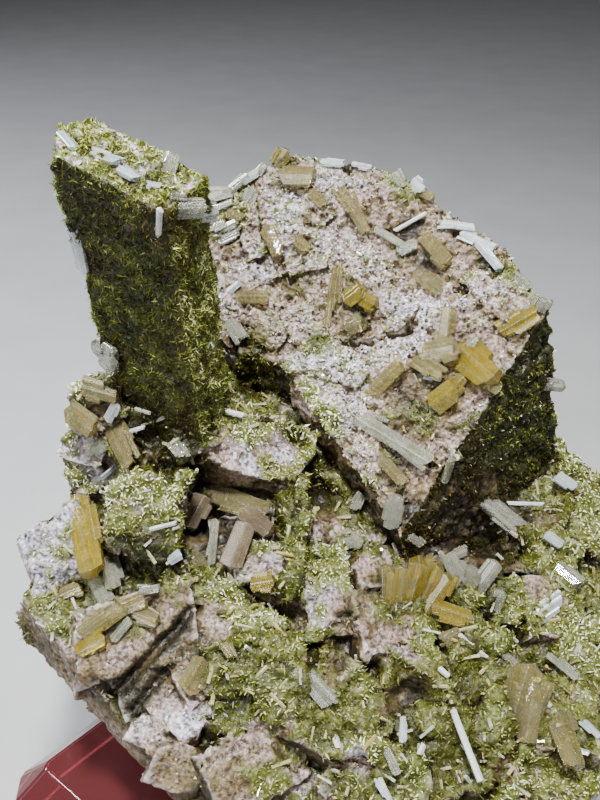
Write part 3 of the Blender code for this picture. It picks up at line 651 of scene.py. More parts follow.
def fineMesh(mesh, cell, name):
    # an even net of small quads that keeps the sharp edges
    piece = newPiece(name, mesh)
    reach = max(piece.dimensions)
    depth = math.ceil(math.log2(reach / cell / 0.95))
    net = piece.modifiers.new("net", "REMESH")
    net.mode = "SHARP"
    net.octree_depth = depth
    net.scale = reach / cell / 2 ** depth
    net.use_remove_disconnected = True
    made = evaluatedMesh(piece)
    bpy.data.objects.remove(piece)
    return made


def smoothStep(low, high, value):
    part = min(1.0, max(0.0, (value - low) / (high - low)))
    return part * part * (3 - 2 * part)


def plateau(spot, size):
    # a value that is constant over each irregular patch of this size
    patch = noise.voronoi(spot / size)[1][0]
    return noise.cell(patch * 7.31 + Vector((3.1, 5.7, 1.3))) - 0.5


def surveyed(mesh):
    # how far each vertex stands out from its neighbours, high along worn edges, and softened normals
    count = len(mesh.vertices)
    spots = np.empty(count * 3)
    mesh.vertices.foreach_get("co", spots)
    spots = spots.reshape(-1, 3)
    normals = np.empty(count * 3)
    mesh.vertex_normals.foreach_get("vector", normals)
    ends = np.empty(len(mesh.edges) * 2, dtype=np.int32)
    mesh.edges.foreach_get("vertices", ends)
    first, second = ends[0::2], ends[1::2]
    degree = np.bincount(ends, minlength=count)

    def around(values):
        total = np.zeros_like(values)
        np.add.at(total, first, values[second])
        np.add.at(total, second, values[first])
        return (total.T / degree).T

    cell = np.linalg.norm(spots[first] - spots[second], axis=1).mean()
    normals = normals.reshape(-1, 3)
    out = ((spots - around(spots)) * normals).sum(axis=1) / cell
    for _ in range(2):
        out = 0.5 * out + 0.5 * around(out)
    for _ in range(5):
        normals = 0.4 * normals + 0.6 * around(normals)
    return out, normals


# How high each kind of relief is in mm; then how much more grows on top, and how rugged bare rock and
# the lower rim are
reliefs = {
    "matrix": {"lump": 0.5, "ledge": 0.6, "chip": 0.34, "grain": 0.14, "crust": 0.35, "groove": 0.3,
               "pit": 0.2, "top": 0.55, "bare": 0.35, "rim": 0.9},
    "block": {"lump": 0.20, "ledge": 0.26, "chip": 0.26, "grain": 0.22, "crust": 0.25, "groove": 0.30,
              "pit": 0.35, "top": 0.0, "bare": 1.0, "rim": 0.0},
    "tall": {"lump": 0.25, "ledge": 0.14, "chip": 0.14, "grain": 0.14, "crust": 0.35, "groove": 0.2,
             "pit": 0.0, "top": 0.0, "bare": 1.0, "rim": 0.0},
}

# Moss, brightness and tone of the forms that have no row in a table
ownLooks = {"core": (0.45, 0.55, 0.1), "block": (0.22, 0.62, -0.1), "tall": (0.95, 0.45, 0.0)}

# How large each kind of relief and each patch of colour is, in mm
reliefSize = {
    "drift": 1.7, "patch": 3.2, "bright": 2.3, "tone": 4.1, "lump": 4.6, "ledge": 3.4, "chip": 1.5,
    "grain": 0.55, "crust": 0.8, "pit": 1.3, "groove": (3.5, 9.0, 24.0), "grooveTurn": 50,
}


def dressRock(mesh, sources, finishes, relief, adjust):
    # sources: plain closed meshes; finishes: (moss, brightness, tone) for each; relief: heights in mm;
    # adjust(spot, normal) returns what is added to those three there, and the share of sugary grains
    bm = bmesh.new()
    owner = []
    for number, source in enumerate(sources):
        bm.from_mesh(source)
        owner += [number] * (len(bm.faces) - len(owner))
    tree = BVHTree.FromBMesh(bm)
    bm.free()
    names = ("moss", "bright", "tone", "sugar", "edge")
    layers = {name: mesh.attributes.new(name, "FLOAT", "POINT").name for name in names}
    values = {name: np.zeros(len(mesh.vertices)) for name in names}
    values["edge"], soft = surveyed(mesh)
    normals = [Vector(normal.vector) for normal in mesh.vertex_normals]
    grooveTurn = Matrix.Rotation(math.radians(reliefSize["grooveTurn"]), 3, "Y")
    for vert, normal in zip(mesh.vertices, normals):
        spot = vert.co.copy()
        drift = noise.noise_vector(spot / reliefSize["drift"]) * 0.7
        nearest = tree.find_nearest(spot + drift)
        moss, bright, tone, sugar = adjust(spot, normal)
        look = finishes[owner[nearest[2]]]
        patches = noise.fractal(spot / reliefSize["patch"], 1.0, 2.0, 3)
        # painted light: the crust on upward faces is brighter
        paintedTopLight = normal.z * 0.22
        growth = look[0] + moss + patches * 0.45 + (normal.z - 0.35) * relief["top"]
        growth = smoothStep(0.40, 0.62, growth)
        values["moss"][vert.index] = growth
        mottle = 0.30 * noise.noise(spot / reliefSize["bright"])
        values["bright"][vert.index] = look[1] + bright + paintedTopLight * 0.8 + mottle - 0.06
        mottle = 0.8 * noise.noise(spot / reliefSize["tone"] + Vector((9, 2, 4)))
        values["tone"][vert.index] = look[2] + tone + mottle
        bare = 1 - 0.75 * smoothStep(0.2, 1.0, look[2] + tone)
        values["sugar"][vert.index] = sugar * bare * (1 - 0.8 * growth)
        rugged = relief["bare"] + (1 - relief["bare"]) * smoothStep(0.1, 0.5, look[0])
        rugged *= 1 - relief["rim"] * smoothStep(0.75, 0.92, normal.dot(lowerLeft))
        height = relief["lump"] * noise.noise(spot / reliefSize["lump"])
        ledge, chip = plateau(spot, reliefSize["ledge"]), plateau(spot, reliefSize["chip"])
        height += relief["ledge"] * ledge + relief["chip"] * chip
        height *= rugged
        height += relief["grain"] * noise.noise(spot / reliefSize["grain"])
        height += growth * relief["crust"] * (0.6 + noise.noise(spot / reliefSize["crust"]))
        run = Vector(a / b for a, b in zip(grooveTurn @ spot, reliefSize["groove"]))
        height -= relief["groove"] * (1 - smoothStep(0.0, 0.06, abs(noise.noise(run))))
        pit = noise.voronoi(spot / reliefSize["pit"])[0][0]
        height -= relief["pit"] * (1 - smoothStep(0.16, 0.34, pit)) * (1 - growth)
        vert.co = spot + Vector(soft[vert.index]) * height
    for name, layer in layers.items():
        mesh.attributes[layer].data.foreach_set("value", values[name])


# How far crevices are looked for, the rays' leans, and what full painted shade does to each attribute
crevices = {
    "reach": 4.0, "rays": 8, "leans": (28, 62), "lift": 0.12,
    "bright": 1.1, "tone": 2.6, "sugar": 2.0, "edge": 0.3,
}


def paintCreviceShade(meshes):
    # painted shade, partly brown staining: browns the rock and darkens the crust where other rock stands
    # close in front of the surface
    tree = surfaceOf(meshes)
    rays, reach = crevices["rays"], crevices["reach"]
    cone = []
    for number in range(rays):
        lean, turn = math.radians(crevices["leans"][number % 2]), math.tau * number / rays
        flat = math.sin(lean)
        cone.append(Vector((flat * math.cos(turn), flat * math.sin(turn), math.cos(lean))))
    for mesh in meshes:
        layers = {name: mesh.attributes[name].data for name in ("bright", "tone", "sugar", "edge")}
        for vert, normal in zip(mesh.vertices, mesh.vertex_normals):
            out = Vector(normal.vector)
            axes = out.to_track_quat("Z", "Y").to_matrix()
            start = vert.co + out * crevices["lift"]
            shade = 0.0
            for ray in cone:
                distance = tree.ray_cast(start, axes @ ray, reach)[3]
                if distance is not None:
                    shade += (1 - distance / reach) / rays
            layers["bright"][vert.index].value -= crevices["bright"] * shade
            layers["tone"][vert.index].value += crevices["tone"] * shade
            layers["sugar"][vert.index].value *= max(0.0, 1 - crevices["sugar"] * shade)
            layers["edge"][vert.index].value -= crevices["edge"] * shade


def carve(mesh, tree):
    # pushes the hollows and the gaps back along the line of sight
    spots = [spotUnder(tree, pixel) for pixel, _, _ in hollows]
    for vert in mesh.vertices:
        for spot, (_, radius, depth) in zip(spots, hollows):
            uneven = 1 + 0.55 * noise.noise(vert.co / 2.2)
            share = (vert.co - spot).length / radius * uneven
            if share < 1:
                vert.co += viewForward * depth * (1 - smoothStep(0.15, 1.0, share))
    for path, radius, depth in gaps:
        spots = [spotUnder(tree, pixel) for pixel in path]
        for vert in mesh.vertices:
            push = 0.0
            for start, end in zip(spots, spots[1:]):
                run = end - start
                along = min(max((vert.co - start).dot(run) / run.length_squared, 0), 1)
                offset = vert.co - start - run * along
                inward = offset.dot(viewForward)
                if abs(inward) < 3:
                    uneven = 1 + 0.3 * noise.noise(vert.co / 1.1)
                    share = (offset - viewForward * inward).length / radius * uneven
                    push = max(push, 1 - smoothStep(0.35, 1.0, share))
            vert.co += viewForward * depth * push


# Helpers for node trees

def feed(tree, node, values):
    # gives inputs, by name or number, a link from another node's output or a plain value
    for name, value in values.items():
        if isinstance(value, bpy.types.NodeSocket):
            tree.links.new(value, node.inputs[name])
        else:
            node.inputs[name].default_value = value
    return node


def addNode(tree, kind, values=None, **settings):
    node = tree.nodes.new(kind)
    for name, setting in settings.items():
        setattr(node, name, setting)
    return feed(tree, node, values or {})


# Fine things that repeat: geometry nodes

scatterInputs = {
    "Geometry": ("Surface",), "Float": ("Spacing", "Density", "Size", "Spread", "Stretch", "Tilt"),
    "Int": ("Seed",), "String": ("Mask",),
}


def scatterTree(name, maker, finish):
    # strews the shape that maker(tree) returns over a surface, as densely as its attribute Mask says
    tree = bpy.data.node_groups.new(name, "GeometryNodeTree")
    for kind, labels in scatterInputs.items():
        for label in labels:
            tree.interface.new_socket(label, in_out="INPUT", socket_type="NodeSocket" + kind)
    tree.interface.new_socket("Pieces", in_out="OUTPUT", socket_type="NodeSocketGeometry")
    given = tree.nodes.new("NodeGroupInput").outputs

    mask = addNode(tree, "GeometryNodeInputNamedAttribute", {"Name": given["Mask"]}, data_type="FLOAT")
    points = addNode(tree, "GeometryNodeDistributePointsOnFaces", {
        "Mesh": given["Surface"], "Distance Min": given["Spacing"], "Density Max": given["Density"],
        "Density Factor": mask.outputs["Attribute"], "Seed": given["Seed"],
    }, distribute_method="POISSON")
    tint = addNode(tree, "FunctionNodeRandomValue", data_type="FLOAT")
    tinted = addNode(tree, "GeometryNodeStoreNamedAttribute", {
        "Geometry": points.outputs["Points"], "Name": "tint", "Value": tint.outputs[1],
    }, data_type="FLOAT", domain="POINT")

    # every grain leans its own way off the surface
    wobble = addNode(
        tree, "FunctionNodeRandomValue", {0: (-1, -1, -3.14), 1: (1, 1, 3.14)}, data_type="FLOAT_VECTOR")
    tilts = addNode(tree, "ShaderNodeCombineXYZ", {"X": given["Tilt"], "Y": given["Tilt"], "Z": 1.0})
    angles = addNode(
        tree, "ShaderNodeVectorMath", {0: wobble.outputs[0], 1: tilts.outputs[0]}, operation="MULTIPLY")
    lean = addNode(tree, "FunctionNodeEulerToRotation", {0: angles.outputs[0]})
    standing = addNode(tree, "FunctionNodeRotateRotation", {
        "Rotation": points.outputs["Rotation"], "Rotate By": lean.outputs[0]}, rotation_space="LOCAL")

    # its size varies by the spread, and its length by the stretch
    def worked(operation, first, second):
        return addNode(tree, "ShaderNodeMath", {0: first, 1: second}, operation=operation).outputs[0]

    vary = addNode(tree, "FunctionNodeRandomValue", {
        2: worked("SUBTRACT", 1.0, given["Spread"]), 3: worked("ADD", 1.0, given["Spread"]),
        "Seed": given["Seed"],
    }, data_type="FLOAT")
    size = worked("MULTIPLY", vary.outputs[1], given["Size"])
    length = worked("MULTIPLY", size, given["Stretch"])
    sizes = addNode(tree, "ShaderNodeCombineXYZ", {"X": size, "Y": size, "Z": length})

    pieces = addNode(tree, "GeometryNodeInstanceOnPoints", {
        "Points": tinted.outputs["Geometry"], "Instance": maker(tree),
        "Rotation": standing.outputs["Rotation"], "Scale": sizes.outputs[0]})
    real = addNode(tree, "GeometryNodeRealizeInstances", {"Geometry": pieces.outputs["Instances"]})
    paint = addNode(tree, "GeometryNodeSetMaterial", {
        "Geometry": real.outputs["Geometry"], "Material": finish})
    feed(tree, tree.nodes.new("NodeGroupOutput"), {"Pieces": paint.outputs["Geometry"]})
    return tree


def grainShape(tree):
    # a three-sided double pyramid one unit across
    values = {"Segments": 3, "Rings": 2, "Radius": 0.5}
    return addNode(tree, "GeometryNodeMeshUVSphere", values).outputs["Mesh"]


def splinterShape(tree):
    # a five-sided prism one unit long
    values = {"Vertices": 5, "Radius": 0.5, "Depth": 1.0}
    return addNode(tree, "GeometryNodeMeshCylinder", values).outputs["Mesh"]


def scatter(name, carrier, tree, values):
    host = newPiece(name, carrier.copy())
    grow = host.modifiers.new("grow", "NODES")
    grow.node_group = tree
    for item in tree.interface.items_tree:
        if item.in_out == "INPUT" and item.name in values:
            grow[item.identifier] = values[item.name]
    made = evaluatedMesh(host)
    host.modifiers.clear()
    host.data = made
    made.name = name
    return host


# Crystals

# The bevel and where it stops growing, the taper, where the tips are cut, how dark the painted shade makes
# the top and the side faces, how many thinner blades may grow along one crystal, and how flat and how
# raised it is
crystalHabit = {
    "edge": 0.045, "edgeWidth": 1.6, "taper": (0.80, 1.0), "turn": 8, "slopes": (0.42, -0.55),
    "steep": (0.4, 1.2), "aslant": (-0.9, 0.9), "tip": (0.42, 0.47), "topShade": (0.0, 0.25),
    "sideShade": (0.45, 1.0), "besides": (0, 1, 2, 2, 3), "flat": (0.42, 0.62), "raised": 0.12,
}

# Thinner blades that grow along a crystal: their shares of its length and width, how far aside and up
besideHabit = {
    "share": (0.40, 0.85), "slim": (0.30, 0.60), "aside": (0.30, 0.52), "up": (-0.10, 0.25),
    "turnSpread": 5, "rollSpread": 14, "thicker": 1.3,
}


def crystalBm(length, width, thickness, chance):
    # a six-sided prism along x with two cuts at each tip and worn edges
    bm = bmesh.new()
    habit = crystalHabit
    taper = 0.5 * chance.uniform(*habit["taper"])
    place = turned("Y", 90) @ turned("Z", 30 + chance.uniform(-habit["turn"], habit["turn"]))
    bmesh.ops.create_cone(bm, cap_ends=True, segments=6, radius1=0.5, radius2=taper, depth=1.0, matrix=place)
    bmesh.ops.scale(bm, vec=(length, width, thickness), verts=bm.verts)
    for side in (-1, 1):
        for slope in habit["slopes"]:
            steep, aslant = chance.uniform(*habit["steep"]), chance.uniform(*habit["aslant"])
            tip = Vector((side * length * chance.uniform(*habit["tip"]), 0, 0))
            trim(bm, tip, Vector((side, slope * steep, slope * aslant)))
    bm.normal_update()
    # painted shade: side faces get a darker colour than top faces
    faceShade = bm.faces.layers.float.new("faceShade")
    for face in bm.faces:
        face[faceShade] = chance.uniform(*habit["topShade" if face.normal.z > 0.6 else "sideShade"])
    mark = bm.faces.layers.float.new("rim")
    bevel = habit["edge"] * min(width, habit["edgeWidth"])
    edgeWearAndHighlight = bmesh.ops.bevel(
        bm, geom=bm.edges[:], offset=bevel, segments=1, affect="EDGES", clamp_overlap=True)
    # the bevelled faces are marked for the painted highlight in rimColour
    for face in edgeWearAndHighlight["faces"]:
        face[mark] = 1.0
    bm.normal_update()
    return bm


def addCrystal(bm, place, length, width, thickness, chance):
    # one crystal, with its own length and width coordinates as a UV map for its striations
    part = crystalBm(length, width, thickness, chance)
    shift = chance.uniform(0, 50)
    layer = part.loops.layers.uv.new("along")
    for face in part.faces:
        for loop in face.loops:
            spot = loop.vert.co
            loop[layer].uv = (spot.x * 0.1, (spot.y + spot.z * 0.7) * 0.1 + shift)
    bmesh.ops.transform(part, matrix=place, verts=part.verts)
    mesh = bpy.data.meshes.new("crystal")
    part.to_mesh(mesh)
    part.free()
    bm.from_mesh(mesh)
    bpy.data.meshes.remove(mesh)


# Materials

def newFinish(name):
    # a material whose textures follow the piece's own coordinates
    finish = bpy.data.materials.new(name)
    finish.use_nodes = True
    tree = finish.node_tree
    addNode(tree, "ShaderNodeTexCoord", name="place")
    return finish, tree, tree.nodes["Principled BSDF"]


def grey(value):
    return (value, value, value)


def ramp(tree, source, *stops):
    # stops: (position, colour or grey value)
    node = addNode(tree, "ShaderNodeValToRGB", {"Fac": source})
    while len(node.color_ramp.elements) < len(stops):
        node.color_ramp.elements.new(0.5)
    for element, (position, colour) in zip(node.color_ramp.elements, stops):
        element.position = position
        element.color = (*(colour if isinstance(colour, tuple) else grey(colour)), 1)
    return node.outputs["Color"]


def mixed(tree, factor, first, second, kind="MIX"):
    node = addNode(tree, "ShaderNodeMix", {0: factor}, data_type="RGBA", blend_type=kind, clamp_factor=True)
    for number, value in ((6, first), (7, second)):
        feed(tree, node, {number: (*value, 1) if isinstance(value, tuple) else value})
    return node.outputs[2]


def times(tree, first, second):
    return mixed(tree, 1.0, first, second, "MULTIPLY")


def attribute(tree, name):
    return addNode(tree, "ShaderNodeAttribute", attribute_name=name).outputs["Fac"]


def toneOf(tree, brownest):
    # the tone attribute from lilac, 0, to brown, 1
    values = {"Value": attribute(tree, "tone"), "From Min": -1.3, "From Max": brownest}
    return addNode(tree, "ShaderNodeMapRange", values).outputs["Result"]


def noiseAt(tree, scale, detail=3.0, rough=0.55, distort=0.0, where=None):
    where = where or tree.nodes["place"].outputs["Object"]
    values = {"Vector": where, "Scale": scale, "Detail": detail, "Roughness": rough, "Distortion": distort}
    return addNode(tree, "ShaderNodeTexNoise", values).outputs["Fac"]


def cellsAt(tree, scale):
    values = {"Vector": tree.nodes["place"].outputs["Object"], "Scale": scale}
    return addNode(tree, "ShaderNodeTexVoronoi", values).outputs["Distance"]


def bumped(tree, shader, *layers):
    # layers: (height output, strength, distance in metres), the broadest first
    below = {}
    for height, strength, distance in layers:
        values = {"Height": height, "Strength": strength, "Distance": distance, **below}
        below = {"Normal": addNode(tree, "ShaderNodeBump", values).outputs["Normal"]}
    feed(tree, shader, below)


def absorbing(tree, colour, density):
    inside = addNode(tree, "ShaderNodeVolumeAbsorption")
    inside.inputs["Color"].default_value = (*colour, 1)
    inside.inputs["Density"].default_value = density
    feed(tree, tree.nodes["Material Output"], {"Volume": inside.outputs["Volume"]})


mossColours = {
    "deep": (0.024, 0.024, 0.004), "olive": (0.086, 0.092, 0.011), "green": (0.200, 0.225, 0.026),
    "bright": (0.39, 0.42, 0.15), "pale": (0.64, 0.68, 0.42), "cream": (0.86, 0.88, 0.70),
    "brown": (0.11, 0.068, 0.022),
}

rockColours = {
    "lilac": (0.46, 0.44, 0.55), "white": (0.56, 0.53, 0.59), "pink": (0.44, 0.34, 0.32),
    "tan": (0.21, 0.155, 0.080), "dark": (0.040, 0.030, 0.018), "brown": (0.18, 0.130, 0.060),
    "speck": (0.012, 0.014, 0.012), "fleck": (0.13, 0.15, 0.03), "edge": (0.74, 0.69, 0.66),
}


def rockFinish():
    finish, tree, shader = newFinish("feldspar")
    # the tan and dark ends of this ramp are reached by brown stains and by painted shade in crevices and
    # recesses
    base = ramp(
        tree, toneOf(tree, 2.6), (0.0, rockColours["lilac"]), (0.30, rockColours["white"]),
        (0.50, rockColours["pink"]), (0.70, rockColours["tan"]), (0.92, rockColours["dark"]))
    grains = ramp(tree, noiseAt(tree, 2600, 2), (0.36, 0.16), (0.54, 0.80), (0.70, 1.30))
    base = mixed(tree, 0.95, base, grains, "MULTIPLY")
    stain = ramp(tree, noiseAt(tree, 230, 4, 0.6, 0.8), (0.52, 0), (0.66, 1))
    base = mixed(tree, times(tree, stain, grey(0.55)), base, rockColours["brown"])
    sugary = ramp(tree, attribute(tree, "sugar"), (0.30, 0.12), (0.70, 1))
    fleck = ramp(tree, noiseAt(tree, 1500, 3), (0.56, 0), (0.62, 1))
    base = mixed(tree, times(tree, fleck, sugary), base, rockColours["fleck"])
    speck = ramp(tree, cellsAt(tree, 1400), (0.24, 1), (0.34, 0))
    gate = ramp(tree, noiseAt(tree, 500, 1), (0.42, 0), (0.50, 1))
    base = mixed(tree, times(tree, times(tree, speck, gate), sugary), base, rockColours["speck"])
    # pale edges: partly worn rock, partly painted highlight
    edgeWearAndHighlight = ramp(tree, attribute(tree, "edge"), (0.08, 0), (0.30, 1))
    base = mixed(tree, times(tree, edgeWearAndHighlight, grey(0.40)), base, rockColours["edge"])
    # under the epidote grains
    under = ramp(tree, noiseAt(tree, 1800, 3), (0.30, mossColours["olive"]), (0.50, mossColours["green"]),
                 (0.70, mossColours["bright"]))
    shade = ramp(tree, attribute(tree, "bright"), (0.10, 0.12), (0.75, 0.55))
    base = mixed(tree, attribute(tree, "moss"), base, times(tree, under, shade))
    rough = ramp(tree, noiseAt(tree, 1900, 2), (0.35, 0.30), (0.65, 0.68))
    feed(tree, shader, {"Base Color": base, "Roughness": rough, "Specular IOR Level": 0.6})
    bumped(tree, shader, (noiseAt(tree, 700, 4, 0.65), 0.8, 0.00030), (cellsAt(tree, 2400), 0.7, 0.00012))
    return finish


def mossFinish():
    # brighter or darker by each grain's tint and by the place that it grows on, whose brightness holds
    # painted light and shade
    finish, tree, shader = newFinish("epidoteGrains")
    values = {0: attribute(tree, "tint"), 1: 0.42, 2: attribute(tree, "bright")}
    value = addNode(tree, "ShaderNodeMath", values, operation="MULTIPLY_ADD")
    lowered = addNode(tree, "ShaderNodeMath", {0: value.outputs[0], 1: 0.08}, operation="SUBTRACT")
    colour = ramp(
        tree, lowered.outputs[0], (0.0, mossColours["deep"]), (0.20, mossColours["olive"]),
        (0.42, mossColours["green"]), (0.64, mossColours["bright"]), (0.86, mossColours["pale"]),
        (1.0, mossColours["cream"]))
    # the grains brown where the tone is high: rust where the rock is stained, painted shade in crevices and
    # recesses
    rustAndShade = ramp(tree, attribute(tree, "tone"), (0.25, 0), (1.0, 0.6))
    colour = mixed(tree, rustAndShade, colour, mossColours["brown"])
    rough = ramp(tree, noiseAt(tree, 3000, 1), (0.3, 0.28), (0.7, 0.6))
    feed(tree, shader, {"Base Color": colour, "Roughness": rough, "Specular IOR Level": 0.5})
    bumped(tree, shader, (noiseAt(tree, 6000, 2), 0.5, 0.00006))
    return finish


crystalFinishes = {
    "honey": {"body": (0.96, 0.88, 0.52), "deep": (0.78, 0.66, 0.28), "tip": (0.98, 0.96, 0.80),
              "faceShade": 0.55, "clear": 0.86, "rough": (0.00, 0.10), "ior": 1.62,
              "absorb": (0.96, 0.92, 0.56), "density": 300.0},
    "amber": {"body": (0.96, 0.82, 0.26), "deep": (0.80, 0.62, 0.10), "tip": (0.98, 0.93, 0.56),
              "faceShade": 0.55, "clear": 0.83, "rough": (0.00, 0.08), "ior": 1.64,
              "absorb": (0.98, 0.91, 0.38), "density": 340.0},
    "clear": {"body": (0.93, 0.94, 0.84), "deep": (0.64, 0.66, 0.46), "tip": (0.97, 0.98, 0.94),
              "faceShade": 0.70, "clear": 0.80, "rough": (0.00, 0.12), "ior": 1.60,
              "absorb": (0.88, 0.91, 0.68), "density": 240.0},
    "smoke": {"body": (0.72, 0.61, 0.44), "deep": (0.48, 0.37, 0.23), "tip": (0.90, 0.85, 0.76),
              "faceShade": 0.60, "clear": 0.80, "rough": (0.01, 0.12), "ior": 1.56,
              "absorb": (0.90, 0.80, 0.62), "density": 200.0},
    "ice": {"body": (0.78, 0.84, 0.88), "deep": (0.52, 0.60, 0.62), "tip": (0.95, 0.97, 0.98),
            "faceShade": 0.80, "clear": 0.55, "rough": (0.10, 0.40), "ior": 1.56,
            "absorb": (0.84, 0.93, 0.98), "density": 120.0},
    "needle": {"body": (0.88, 0.91, 0.90), "deep": (0.66, 0.71, 0.70), "tip": (0.96, 0.97, 0.97),
               "faceShade": 0.85, "clear": 0.35, "rough": (0.15, 0.45), "ior": 1.55,
               "absorb": (0.90, 0.95, 0.95), "density": 60.0},
}

rimColour = (0.95, 0.94, 0.86)  # the light that a crystal's worn edges catch


def crystalFinish(kind):
    values = crystalFinishes[kind]
    finish, tree, shader = newFinish(kind + "Crystal")
    along = addNode(tree, "ShaderNodeUVMap", uv_map="along").outputs["UV"]
    stretch = addNode(tree, "ShaderNodeMapping", {"Vector": along, "Scale": (1.2, 46.0, 1.0)})
    lines = noiseAt(tree, 1.0, 3, 0.6, 0.0, stretch.outputs["Vector"])
    veil = noiseAt(tree, 700, 4, 0.65, 0.6)
    blend = mixed(tree, 0.55, veil, lines)
    colour = ramp(tree, blend, (0.38, values["deep"]), (0.56, values["body"]), (0.74, values["tip"]))
    # painted shade: darker side faces
    shade = ramp(tree, attribute(tree, "faceShade"), (0.0, 1.0), (1.0, values["faceShade"]))
    colour = times(tree, colour, shade)
    colour = mixed(tree, times(tree, attribute(tree, "rim"), grey(0.75)), colour, rimColour)
    low, high = values["rough"]
    feed(tree, shader, {"Base Color": colour, "Roughness": ramp(tree, veil, (0.38, low), (0.70, high))})
    shader.inputs["Transmission Weight"].default_value = values["clear"]
    shader.inputs["IOR"].default_value = values["ior"]
    bumped(tree, shader, (lines, 0.35, 0.00008), (noiseAt(tree, 2400, 2), 0.20, 0.00005))
    absorbing(tree, values["absorb"], values["density"])
    return finish


def splinterFinish():
    # the tiny pale blades strewn over the rock have no map of their own, so their colour follows "tint"
    finish, tree, shader = newFinish("splinters")
    colour = ramp(tree, attribute(tree, "tint"), (0.0, (0.86, 0.88, 0.80)), (0.45, (0.82, 0.80, 0.60)),
                  (0.75, (0.84, 0.76, 0.46)), (1.0, (0.72, 0.58, 0.24)))
    feed(tree, shader, {"Base Color": colour, "Roughness": 0.18})
    shader.inputs["Transmission Weight"].default_value = 0.55
    shader.inputs["IOR"].default_value = 1.58
    bumped(tree, shader, (noiseAt(tree, 3000, 2), 0.3, 0.00005))
    return finish


def sugarFinish():
    finish, tree, shader = newFinish("feldsparGrains")
    base = ramp(tree, toneOf(tree, 1.3), (0.0, (0.64, 0.62, 0.75)), (0.45, (0.72, 0.70, 0.76)),
                (0.75, (0.60, 0.50, 0.46)), (1.0, (0.30, 0.22, 0.12)))
    kinds = ramp(tree, attribute(tree, "tint"), (0.0, (0.06, 0.07, 0.03)), (0.12, (0.34, 0.36, 0.12)),
                 (0.30, (0.72, 0.72, 0.40)), (0.42, 0.75), (0.80, 1.0), (1.0, 1.35))
    rough = ramp(tree, noiseAt(tree, 3000, 1), (0.3, 0.12), (0.7, 0.45))
    feed(tree, shader, {"Base Color": times(tree, base, kinds), "Roughness": rough,
                        "Specular IOR Level": 0.8})
    bumped(tree, shader, (noiseAt(tree, 5000, 2), 0.3, 0.00005))
    return finish


def acrylicFinish():
    finish, tree, shader = newFinish("redAcrylic")
    shader.inputs["Base Color"].default_value = (0.66, 0.19, 0.20, 1)
    shader.inputs["Transmission Weight"].default_value = 0.86
    shader.inputs["Specular IOR Level"].default_value = 0.2
    shader.inputs["IOR"].default_value = 1.49
    smudge = ramp(tree, noiseAt(tree, 160, 4), (0.40, 0.015), (0.75, 0.09))
    feed(tree, shader, {"Roughness": smudge})
    stretch = addNode(tree, "ShaderNodeMapping", {
        "Vector": tree.nodes["place"].outputs["Object"], "Scale": (90.0, 2600.0, 600.0),
        "Rotation": (0.0, 0.0, 0.6)})
    scratches = ramp(tree, noiseAt(tree, 1.0, 2, 0.5, 0.0, stretch.outputs["Vector"]), (0.70, 0), (0.76, 1))
    bumped(tree, shader, (scratches, 0.05, 0.00002))
    absorbing(tree, (0.90, 0.34, 0.34), 18.0)
    return finish


def floorFinish():
    finish, tree, shader = newFinish("paleFloor")
    paper = ramp(tree, noiseAt(tree, 60, 4), (0.3, 0.40), (0.7, 0.43))
    feed(tree, shader, {"Base Color": paper, "Roughness": 0.75})
    return finish


# Building it

def settle(piece, node):
    # from millimetres in the specimen's frame to its place in the world
    piece.data.transform(toWorld)
    if piece.name.startswith("rock"):
        piece.data.shade_smooth()
    else:
        piece.data.shade_flat()
    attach(piece, "root")
    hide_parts(node)


def triangles(piece):
    piece.data.calc_loop_triangles()
    return len(piece.data.loop_triangles)


# The size in mm of the small quads that each rock is meshed with, and where its random draws start
rockCells = {"tall": 0.26, "block": 0.27, "matrix": 0.42}
seeds = {"front": 1, "ledge": 80, "looks": 7, "crystals": 23}

print("making the rock's forms")
coreForm = coreMesh()
tallForm = tallMesh()
backSlab = slabMesh("backSlab", greatBlock["back"], greatBlock["drop"])
frontSlab = slabMesh("frontSlab", greatBlock["front"], 0.0)
coreTree = surfaceOf([coreForm])
frontForms, frontLooks = [], []
for number, (name, pixel, size, angle, tips, proud, *look) in enumerate(frontBlocks):
    seat = seatOn(coreTree, pixel, angle) @ Matrix.Translation((0, 0, proud))
    place = seat @ turned("X", tips[0]) @ turned("Y", tips[1])
    frontForms.append(feldsparMesh(name, size, place, seeds["front"] + number))
    frontLooks.append(look)
hiddenForms = hiddenBlocks(surfaceOf([coreForm, tallForm, backSlab, frontSlab]))

seats = surfaceOf([coreForm, tallForm, backSlab, frontSlab, *frontForms])
slabTree = surfaceOf([backSlab, frontSlab])
ledgeForms = []
for number, (pixel, size, angle, proud) in enumerate(ledges):
    place = seatOn(slabTree, pixel, angle) @ Matrix.Translation((0, 0, proud))
    ledgeForms.append(feldsparMesh("ledge", size, place, seeds["ledge"] + number))

chance = random.Random(seeds["looks"])
hiddenLooks = [
    (chance.uniform(0.1, 0.9), chance.uniform(0.45, 0.9), chance.uniform(-0.8, 0.9)) for _ in hiddenForms
]
stainAndShadingSpots = []
for pixel, radius, *look in stainsAndPaintedShading:
    stainAndShadingSpots.append((spotUnder(seats, pixel), radius, look))
for pixel, length, *_ in blades:
    # painted shade: the rock is darker and browner round each crystal's foot
    stainAndShadingSpots.append((spotUnder(seats, pixel), 0.22 * length + 0.7, (0.0, -0.18, 1.3)))
faceAxes = faceFrame().to_3x3().transposed()


def stainAndShadingAt(spot):
    total = [0.0, 0.0, 0.0]
    for middle, radius, look in stainAndShadingSpots:
        reach = (spot - middle).length_squared / radius ** 2
        if reach < 4:
            weight = math.exp(-reach)
            total = [value + weight * more for value, more in zip(total, look)]
    return total


# What is added to moss, brightness and tone, and the share of sugary grains, by where a face looks

